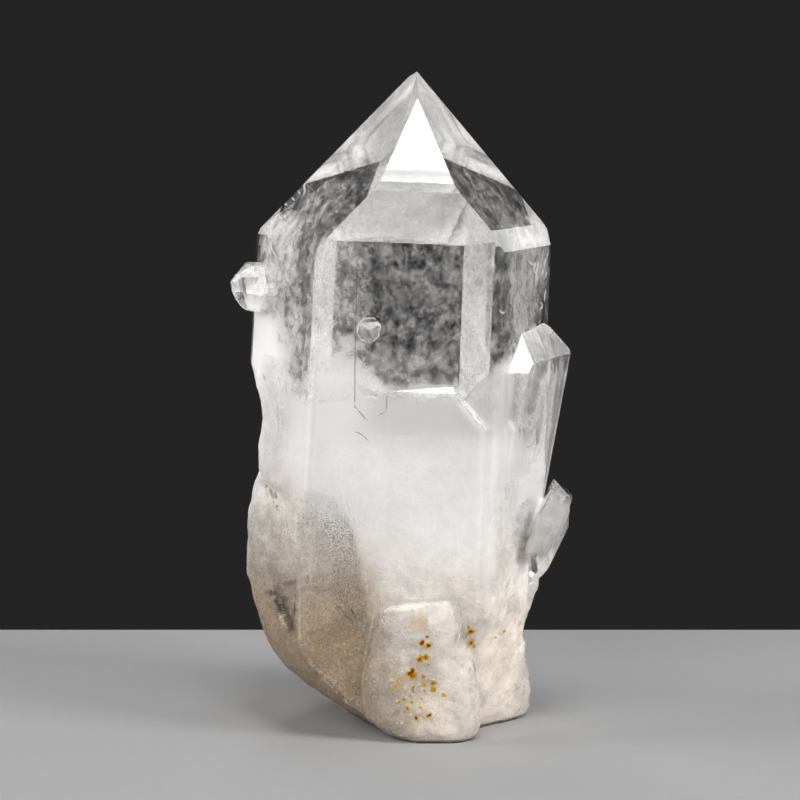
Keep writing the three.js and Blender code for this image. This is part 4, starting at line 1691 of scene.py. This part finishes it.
# Painted highlights: pale lines along folds and edges.
FOLD_HIGHLIGHTS = (
    (
        (19.2, -35.1, 25.0), (20.4, -34.3, 22.6), (21.3, -34.4, 15.2), (22.2, -32.8, 8.8),
        (22.9, -27.1, 3.5),
    ),
    (
        (-7.5, -34.1, 38.6), (-9.0, -34.1, 31.5), (-10.5, -34.1, 24.0), (-10.8, -35.5, 16.9),
        (-9.9, -36.1, 10.5),
    ),
    ((-29.4, -33.2, 26.5), (-26.2, -34.7, 23.6), (-22.7, -34.5, 20.9), (-17.5, -34.3, 15.7)),
    ((-29.3, -33.4, 40.2), (-29.0, -34.8, 31.6), (-27.3, -34.7, 27.2)),
    ((-30.2, -32.3, 51.8), (-29.9, -32.7, 46.0), (-29.9, -33.5, 39.6)),
    ((22.0, -34.3, 42.5), (23.2, -33.5, 41.4), (25.3, -31.0, 37.3)),
    ((44.9, -13.6, 107.3), (45.1, -11.4, 100.1), (44.5, -10.6, 94.1), (44.1, -9.3, 86.4)),
    (
        (-15.9, -34.7, 72.8), (-13.3, -34.5, 65.5), (-11.6, -34.4, 58.7), (-10.4, -34.3, 51.6),
        (-9.3, -34.2, 43.3),
    ),
    ((-26.0, -34.7, 72.8), (-25.5, -33.0, 63.7), (-25.8, -32.4, 54.8), (-26.1, -32.9, 46.0)),
)
# Painted shade: dark brown lines in the creases of the left bulge and the foot.
CREASE_SHADES = (
    ((-40.6, -15.6, 73.4), (-39.6, -18.4, 71.8)), ((-37.5, -21.3, 73.7), (-35.9, -22.9, 71.7)),
    ((-38.9, -18.9, 73.9), (-38.1, -20.1, 72.6), (-36.5, -23.7, 68.5), (-35.6, -24.9, 66.7)),
    ((-40.3, -16.3, 72.6), (-38.1, -20.3, 73.6)),
    ((-39.0, -18.8, 73.6), (-36.6, -22.2, 71.8), (-35.6, -24.6, 67.8)),
    ((-35.9, -23.6, 70.0), (-35.9, -24.5, 67.5)), ((-28.4, -32.4, 57.7), (-28.1, -32.4, 56.0)),
    ((-38.3, -20.2, 42.5), (-36.5, -21.8, 38.9), (-34.3, -24.8, 34.8), (-32.3, -31.3, 33.2)),
    ((-30.2, -32.4, 50.3), (-30.2, -32.5, 43.0), (-30.8, -33.0, 36.6), (-32.0, -31.8, 33.3)),
    ((-34.4, -22.8, 39.5), (-34.0, -24.2, 35.3)), ((-27.6, -32.5, 51.0), (-26.7, -32.7, 47.8)),
    ((-16.0, -34.4, 38.0), (-13.9, -34.3, 35.7)), ((-14.5, -34.4, 40.1), (-12.8, -34.3, 36.8)),
    ((-12.2, -34.2, 31.5), (-11.0, -34.1, 26.7)), ((-9.9, -34.1, 33.8), (-11.3, -34.1, 28.5)),
    ((-19.4, -33.9, 40.9), (-16.8, -34.4, 39.8)), ((-17.4, -33.8, 43.8), (-15.1, -34.4, 41.6)),
    ((-14.0, -34.1, 16.6), (-12.2, -34.0, 13.6)), ((3.2, -37.2, 17.3), (4.1, -37.2, 15.2)),
    ((6.7, -36.9, 16.4), (7.5, -37.1, 15.2)), ((14.5, -36.3, 34.0), (15.1, -36.1, 33.1)),
    ((-20.4, -34.4, 16.7), (-16.0, -34.2, 13.0)), ((-25.3, -33.9, 21.3), (-22.7, -34.3, 19.0)),
)
SHADES = (
    (
        (41.2, -20.0, 111.0), (40.2, -21.4, 106.6), (39.6, -21.7, 102.2), (38.7, -22.5, 98.6),
        (37.8, -23.2, 95.4),
    ),
    ((42.2, -18.8, 109.9), (41.0, -19.7, 105.4)),
)


@dataclass
class Hairlines:
    """Thin flat ribbons that lie just on or under the outer stone's surface.

    Fields:
        name: the piece's name.
        stone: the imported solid.
        lines: each line's points in stone millimetres.
        width: a ribbon's width in millimetres.
        height: how far they lie over the surface, in metres, less than 0 for under it.
        step: the length of a ribbon's pieces in millimetres.
        taper: over how many millimetres its ends get thin.
        tremble: how far it strays to each side, in millimetres.
    """

    name: str
    stone: Triangles
    lines: tuple[tuple[Place, ...], ...]
    width: float
    height: float
    step: float = 0.9
    taper: float = 1.5
    tremble: float = 0.10

    def ribbon(self, line: tuple) -> np.ndarray:
        """Three points across at even steps along a line, shape (steps, 3, 3), with a slight tremble.

        Args:
            line: the points that it runs through, in stone millimetres.

        Returns:
            The points.
        """
        knots = np.array(line, float)
        run = np.concatenate([[0], np.cumsum(np.linalg.norm(np.diff(knots, axis=0), axis=1))])
        count = max(3, int(run[-1] / self.step))
        at = np.linspace(0, run[-1], count)
        middle = np.stack([np.interp(at, run, knots[:, i]) for i in range(3)], 1)
        way = np.gradient(middle, axis=0)
        way /= np.linalg.norm(way, axis=1)[:, None]
        across = np.cross(way, np.array([0.0, -1.0, 0.0]))
        across /= np.linalg.norm(across, axis=1)[:, None]
        middle = middle + across * (self.tremble * rough(middle * MM, 0.002, 9, 2))[:, None]
        to_end = np.minimum(at, run[-1] - at) / self.taper
        thin = np.sqrt(np.clip(to_end, 0.05, 1)) * self.width / 2
        return middle[:, None] + across[:, None] * thin[:, None, None] * np.array([1, 0, -1])[None, :, None]

    def build(self, front: FrontView) -> bpy.types.Object:
        """Joins the ribbons into one mesh and lays it onto the outer stone.

        Args:
            front: the outer stone as seen from the front.

        Returns:
            The lines, as one piece.
        """
        strips = [self.ribbon(line) for line in self.lines]
        starts = np.cumsum([0] + [strip.shape[0] * 3 for strip in strips])
        faces = []
        for strip, start in zip(strips, starts):
            low = start + 3 * np.arange(strip.shape[0] - 1)[:, None] + np.array([0, 1])
            faces += np.stack([low, low + 1, low + 4, low + 3], -1).reshape(-1, 4).tolist()
        points = np.concatenate([strip.reshape(-1, 3) for strip in strips]) * MM + self.stone.shift
        heart = np.concatenate([np.tile([0.5, 1.0, 0.5], strip.shape[0]) for strip in strips])
        return front.lay(self.name, points, faces, heart, self.height)


@dataclass
class HazeBall:
    """A small cloud inside a side crystal: a long ball with an uneven skin.

    Fields:
        name: the piece's name.
        stone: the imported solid.
        middle: in stone millimetres.
        along: which way it is long.
        radii: half its size across X, across Y and along, in millimetres.
        thick: its thickness for the veil's finish.
        uneven, step: how much its skin swings, and how far apart its lumps are, in metres.
        pole: how far its first and last circle are from its poles, in radians.
        rings, spokes: how many points along and around.
    """

    name: str
    stone: Triangles
    middle: Place
    along: Place
    radii: Place
    thick: float
    uneven: float = 0.25
    step: float = 0.005
    pole: float = 0.06
    rings: int = 40
    spokes: int = 48

    def build(self) -> bpy.types.Object:
        """Circles along the long way, with the radius of a ball there times 1 plus a slow noise.

        Returns:
            The cloud.
        """
        axis = np.array(self.along) / np.linalg.norm(self.along)
        side = np.cross(axis, [0, 1, 0])
        side /= np.linalg.norm(side)
        deep = np.cross(side, axis)
        rise = -np.cos(np.linspace(self.pole, np.pi - self.pole, self.rings))[:, None]
        turn = np.linspace(0, 2 * np.pi, self.spokes, endpoint=False)[None]
        girth = np.sqrt(1 - rise**2)
        wide, high, tall = self.radii
        ball = (
            (wide * girth * np.cos(turn))[..., None] * side
            - (high * girth * np.sin(turn))[..., None] * deep
            + (tall * rise * np.ones_like(turn))[..., None] * axis
        )
        bumpy = 1 + self.uneven * rough(ball * MM, self.step, 31, 2)
        points = (np.array(self.middle) + ball * bumpy[..., None]) * MM + self.stone.shift
        thick = self.thick * smooth(1.0, 0.55, np.abs(rise)) * np.ones_like(turn)
        return shell(self.name, points, {"thick": thick, "tone_and_painted_light": np.ones(thick.shape)})


@dataclass(frozen=True)
class Lamp:
    """One soft studio light, placed around the stone.

    Fields:
        name: what it is.
        heading, rise: where it hangs, in degrees from the front towards +X and above level.
        away: its distance in metres.
        wide, high: its size in metres.
        power: in watts.
    """

    name: str
    heading: float
    rise: float
    away: float
    wide: float
    high: float
    power: float

    def hang(self, aim: Vector) -> bpy.types.Object:
        """Makes the light and turns it to the aim. The camera doesn't see it.

        Args:
            aim: the place that it points at.

        Returns:
            The lamp.
        """
        light = bpy.data.lights.new(self.name, "AREA")
        light.shape = "RECTANGLE"
        light.size = self.wide
        light.size_y = self.high
        light.energy = self.power
        lamp = placed(self.name, light)
        turn = math.radians(self.heading)
        up = math.radians(self.rise)
        way = Vector((math.cos(up) * math.sin(turn), -math.cos(up) * math.cos(turn), math.sin(up)))
        lamp.location = aim + self.away * way
        lamp.rotation_euler = (-way).to_track_quat("-Z", "Y").to_euler()
        lamp.visible_camera = False
        return lamp


# Each light's name, heading, rise, distance, width, height and power.
LAMPS = (
    Lamp("top_softbox", 9.5, 66.5, 0.8, 0.21, 0.21, 1.56),
    Lamp("front_fill", -30, 34, 0.9, 0.40, 0.40, 2.1),
    Lamp("right_fill", 62, 24, 0.9, 0.36, 0.44, 4.0),
    Lamp("left_softbox", -90, 22, 0.8, 0.30, 0.40, 2.1),
    Lamp("right_strip", 127, 14.5, 0.8, 0.20, 0.13, 0.27),
    Lamp("back_softbox", 192, 52, 0.8, 0.30, 0.30, 0.9),
)


@dataclass(frozen=True)
class Studio:
    """The camera, the lights, the pale floor and the shade behind.

    Fields:
        stone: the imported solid.
        rise, away: the camera's height over the middle in degrees, and its distance in metres.
        lens, sensor: its focal length and its sensor's width, in millimetres.
        aim_height: the height of the picture's middle, in millimetres.
        floor_wide: the floor's width in metres.
        floor_front, floor_back: how many half widths it reaches forwards and backwards.
        floor_under: how far it lies under the stone, in metres.
        floor_dark, floor_light: the tones of its faint grain.
        behind: the tone of the room all round.
    """

    stone: Triangles
    rise: float = 8.18
    away: float = 0.95
    lens: float = 143.37
    sensor: float = 36.0
    aim_height: float = 97.0
    floor_wide: float = 0.30
    floor_front: float = 1.6
    floor_back: float = 0.8
    floor_under: float = 0.0002
    floor_dark: Colour = (0.49, 0.49, 0.495, 1)
    floor_light: Colour = (0.53, 0.53, 0.535, 1)
    behind: Colour = (0.0178, 0.0178, 0.0182, 1)

    def aim(self) -> Vector:
        """The middle of the picture."""
        return Vector(self.stone.from_stone((0, 0, self.aim_height)))

    def camera(self) -> bpy.types.Object:
        """A long lens a little above the stone's middle.

        Returns:
            The camera.
        """
        data = bpy.data.cameras.new("camera")
        data.lens = self.lens
        data.sensor_width = self.sensor
        camera = placed("camera", data)
        up = math.radians(self.rise)
        way = Vector((0, -math.cos(up), math.sin(up)))
        camera.location = self.aim() + self.away * way
        camera.rotation_euler = (-way).to_track_quat("-Z", "Y").to_euler()
        bpy.context.scene.camera = camera
        return camera

    def floor(self) -> bpy.types.Object:
        """A plain pale slab, no larger than the stone needs.

        Returns:
            The floor.
        """
        half = self.floor_wide / 2
        front, back = -half * self.floor_front, half * self.floor_back
        corners = ((-half, front), (half, front), (half, back), (-half, back))
        mesh = bpy.data.meshes.new("floor")
        mesh.from_pydata([(x, y, -self.floor_under) for x, y in corners], [], [(0, 1, 2, 3)])
        floor = placed("floor", mesh)
        made, graph, place = new_material("floor")
        grain = graph.noise(place, 300.0, 3.0)
        colour = graph.blend(grain, self.floor_dark, self.floor_light)
        matt = graph.node("BsdfPrincipled", {"Base Color": colour, "Roughness": 0.8})
        graph.finish(matt)
        mesh.materials.append(made)
        return floor

    def shade(self) -> None:
        """A dark, even grey all round."""
        world = bpy.data.worlds.new("shade")
        bpy.context.scene.world = world
        world.use_nodes = True
        graph = Graph(world.node_tree)
        grey = graph.node("Background", {"Color": self.behind, "Strength": 1.0})
        graph.node("OutputWorld", {"Surface": grey.outputs[0]})

    def set_up(self) -> None:
        """Everything around the stone."""
        self.camera()
        self.floor()
        self.shade()
        for lamp in LAMPS:
            lamp.hang(self.aim())
        scene = bpy.context.scene
        scene.view_settings.view_transform = "Standard"
        scene.cycles.max_bounces = 24
        scene.cycles.transmission_bounces = 20
        scene.cycles.glossy_bounces = 12
        scene.cycles.transparent_max_bounces = 32


def dress(piece: bpy.types.Object, material: bpy.types.Material) -> None:
    """Gives a piece its finish and its body, and reports it.

    Args:
        piece: the new object.
        material: its finish.
    """
    piece.data.materials.append(material)
    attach(piece, BODY)
    log.info("%s: %d faces", piece.name, len(piece.data.polygons))


# Painted glints, white spots that stand in for highlights: how many, the seed that strews them, and the
# least and the most of each number of a spot, where x and height are shares that painted_glint_spots()
# turns into places.
GLINT_COUNT = 170
GLINT_SEED = 77
GLINT_LEAST = (0, -37, 0, 0.16, 0.6)
GLINT_MOST = (1, -37, 1, 0.60, 1.5)

# Where x and height of the glints begin, how far they run, and the power that draws them to the right.
GLINT_FROM = (-9, 5)
GLINT_OVER = (46, 36)
GLINT_POWER = 0.8


def painted_glint_spots() -> np.ndarray:
    """Painted glints: white spots for highlights, strewn over the front lobe and the right lobe, denser to
    the right.

    Their x is its start plus its run times the share to a power. Their height is spread evenly.

    Returns:
        One row for each spot, as in the tables of spots.
    """
    spots = np.random.default_rng(GLINT_SEED).uniform(GLINT_LEAST, GLINT_MOST, (GLINT_COUNT, 5))
    spots[:, 0] = GLINT_FROM[0] + GLINT_OVER[0] * spots[:, 0] ** GLINT_POWER
    spots[:, 2] = GLINT_FROM[1] + GLINT_OVER[1] * spots[:, 2]
    return spots


def fill(stone: Triangles, clear: bpy.types.Object) -> None:
    """Builds what lies inside the outer stone, and the frost on its breaks.

    Args:
        stone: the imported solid.
        clear: the outer stone.
    """
    wisps = wisps_group()
    milky = milk_group()
    body = Milk()
    top = MilkTop()
    dress(MilkBody(stone, top).build(), body.material(milky))
    dress(FrostSkin(stone).build(clear), Frost().material(wisps))
    outer = VeilShell(
        stone, "outer_veil", OUTER_GAPS, low=0.080, high=0.180, thin=0.19, clouds=FRONT_CLOUDS, top=top
    )
    finish = Veil("outer_veil", strength=0.60, contrast=2.7, scale=300.0)
    dress(outer.build(), finish.material(milky, wisps, body))
    inner = VeilShell(
        stone, "inner_veil", INNER_GAPS, low=0.085, high=0.155, thin=0.22, clouds=DEEP_CLOUDS, top=top,
        fade=5.0,
    )
    finish = Veil("inner_veil", strength=0.5, contrast=2.5, scale=220.0)
    dress(inner.build(), finish.material(milky, wisps, body))
    haze = Veil("side_haze", strength=0.6, contrast=2.2, scale=260.0).material(milky, wisps, body)
    for ball in (
        HazeBall("lower_side_haze", stone, (43.8, -11, 60), (0.44, 0, 0.9), (3.9, 4.2, 13.5), 0.90),
        HazeBall("upper_side_haze", stone, (39.2, -13.2, 99.5), (0.14, 0, 0.99), (5.4, 8.0, 16), 0.46),
    ):
        dress(ball.build(), haze)


def mark_surface(stone: Triangles, front: FrontView) -> None:
    """Lays the small marks onto the outer stone: spots first, then lines.

    Args:
        stone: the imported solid.
        front: the outer stone as seen from the front.
    """
    white = (0.97, 0.96, 0.94, 1)
    pale = (0.82, 0.80, 0.785, 1)
    breath = StainAndPaintedLight(
        "rust_breath", rim=(0.84, 0.50, 0.20, 1), breath=(0.88, 0.64, 0.34, 1), frayed=0.4, hides=0.38,
        soft=0.55,
    )
    # Dark spots of painted shade for the bulge's creases, white spots of painted highlight and pale patches
    # of painted light.
    crease_shade_spot = StainAndPaintedLight(
        "crease_shade_spot", (0.11, 0.09, 0.07, 1), (0.16, 0.13, 0.10, 1), (0.24, 0.20, 0.15, 1), frayed=1.3, hides=0.55,
        soft=0.5,
    )
    painted_glint = StainAndPaintedLight("painted_glint", white, white, white, frayed=1.8, hides=0.95, soft=0.3)
    painted_light_patch = StainAndPaintedLight("painted_light_patch", pale, pale, pale, frayed=0.5, hides=0.62, soft=0.7)
    for name, spots, finish, height, spread in (
        ("stains", STAINS, StainAndPaintedLight(), 0.00028, 1.5),
        ("tints", TINTS, breath, 0.00026, 1.0),
        ("crease_shade_spots", CREASE_SHADE_SPOTS, crease_shade_spot, 0.00027, 1.0),
        ("painted_glints", painted_glint_spots(), painted_glint, 0.00027, 1.0),
        ("painted_light_patches", PAINTED_LIGHT_PATCHES, painted_light_patch, 0.00025, 1.0),
    ):
        dress(Flecks(name, stone, spots, height, spread).build(front), finish.material())
    # Dark cracks, then white and pale lines of painted highlight, dark brown lines of painted shade in
    # creases, and a painted dark streak.
    crack = ScratchAndPaintedLight("crack", (0.09, 0.085, 0.08, 1), 0.8).material()
    nick_highlight = ScratchAndPaintedLight("nick_highlight", (0.97, 0.97, 0.96, 1), 0.95).material()
    fold_highlight = ScratchAndPaintedLight("fold_highlight", (0.95, 0.90, 0.82, 1), 0.42, (0.36, 0.58)).material()
    crease_shade = ScratchAndPaintedLight("crease_shade", (0.13, 0.10, 0.07, 1), 0.6, (0.44, 0.60)).material()
    shade = ScratchAndPaintedLight("shade", (0.16, 0.16, 0.16, 1), 0.55).material()
    for name, lines, material, width, height in (
        ("cracks", CRACKS, crack, 0.34, -0.00010),
        ("nick_highlights", NICK_HIGHLIGHTS, nick_highlight, 0.65, 0.00004),
        ("ridge_highlights", RIDGE_HIGHLIGHTS, nick_highlight, 0.62, 0.00030),
        ("fold_highlights", FOLD_HIGHLIGHTS, fold_highlight, 0.7, 0.00028),
        ("crease_shades", CREASE_SHADES, crease_shade, 1.0, 0.00026),
        ("shades", SHADES, shade, 2.8, 0.00024),
    ):
        dress(Hairlines(name, stone, lines, width, height).build(front), material)


def main() -> None:
    """Builds the studio, then the stone from its outside in, then the marks on it."""
    logging.basicConfig(level=logging.INFO, format="%(message)s")
    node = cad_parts[NODE]
    stone = Triangles.of_node(node)
    Studio(stone).set_up()
    clear = ClearStone().build(node)
    dress(clear, ClearQuartz().material())
    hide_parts(NODE)
    fill(stone, clear)
    mark_surface(stone, FrontView(clear))


if __name__ == "__main__":
    main()
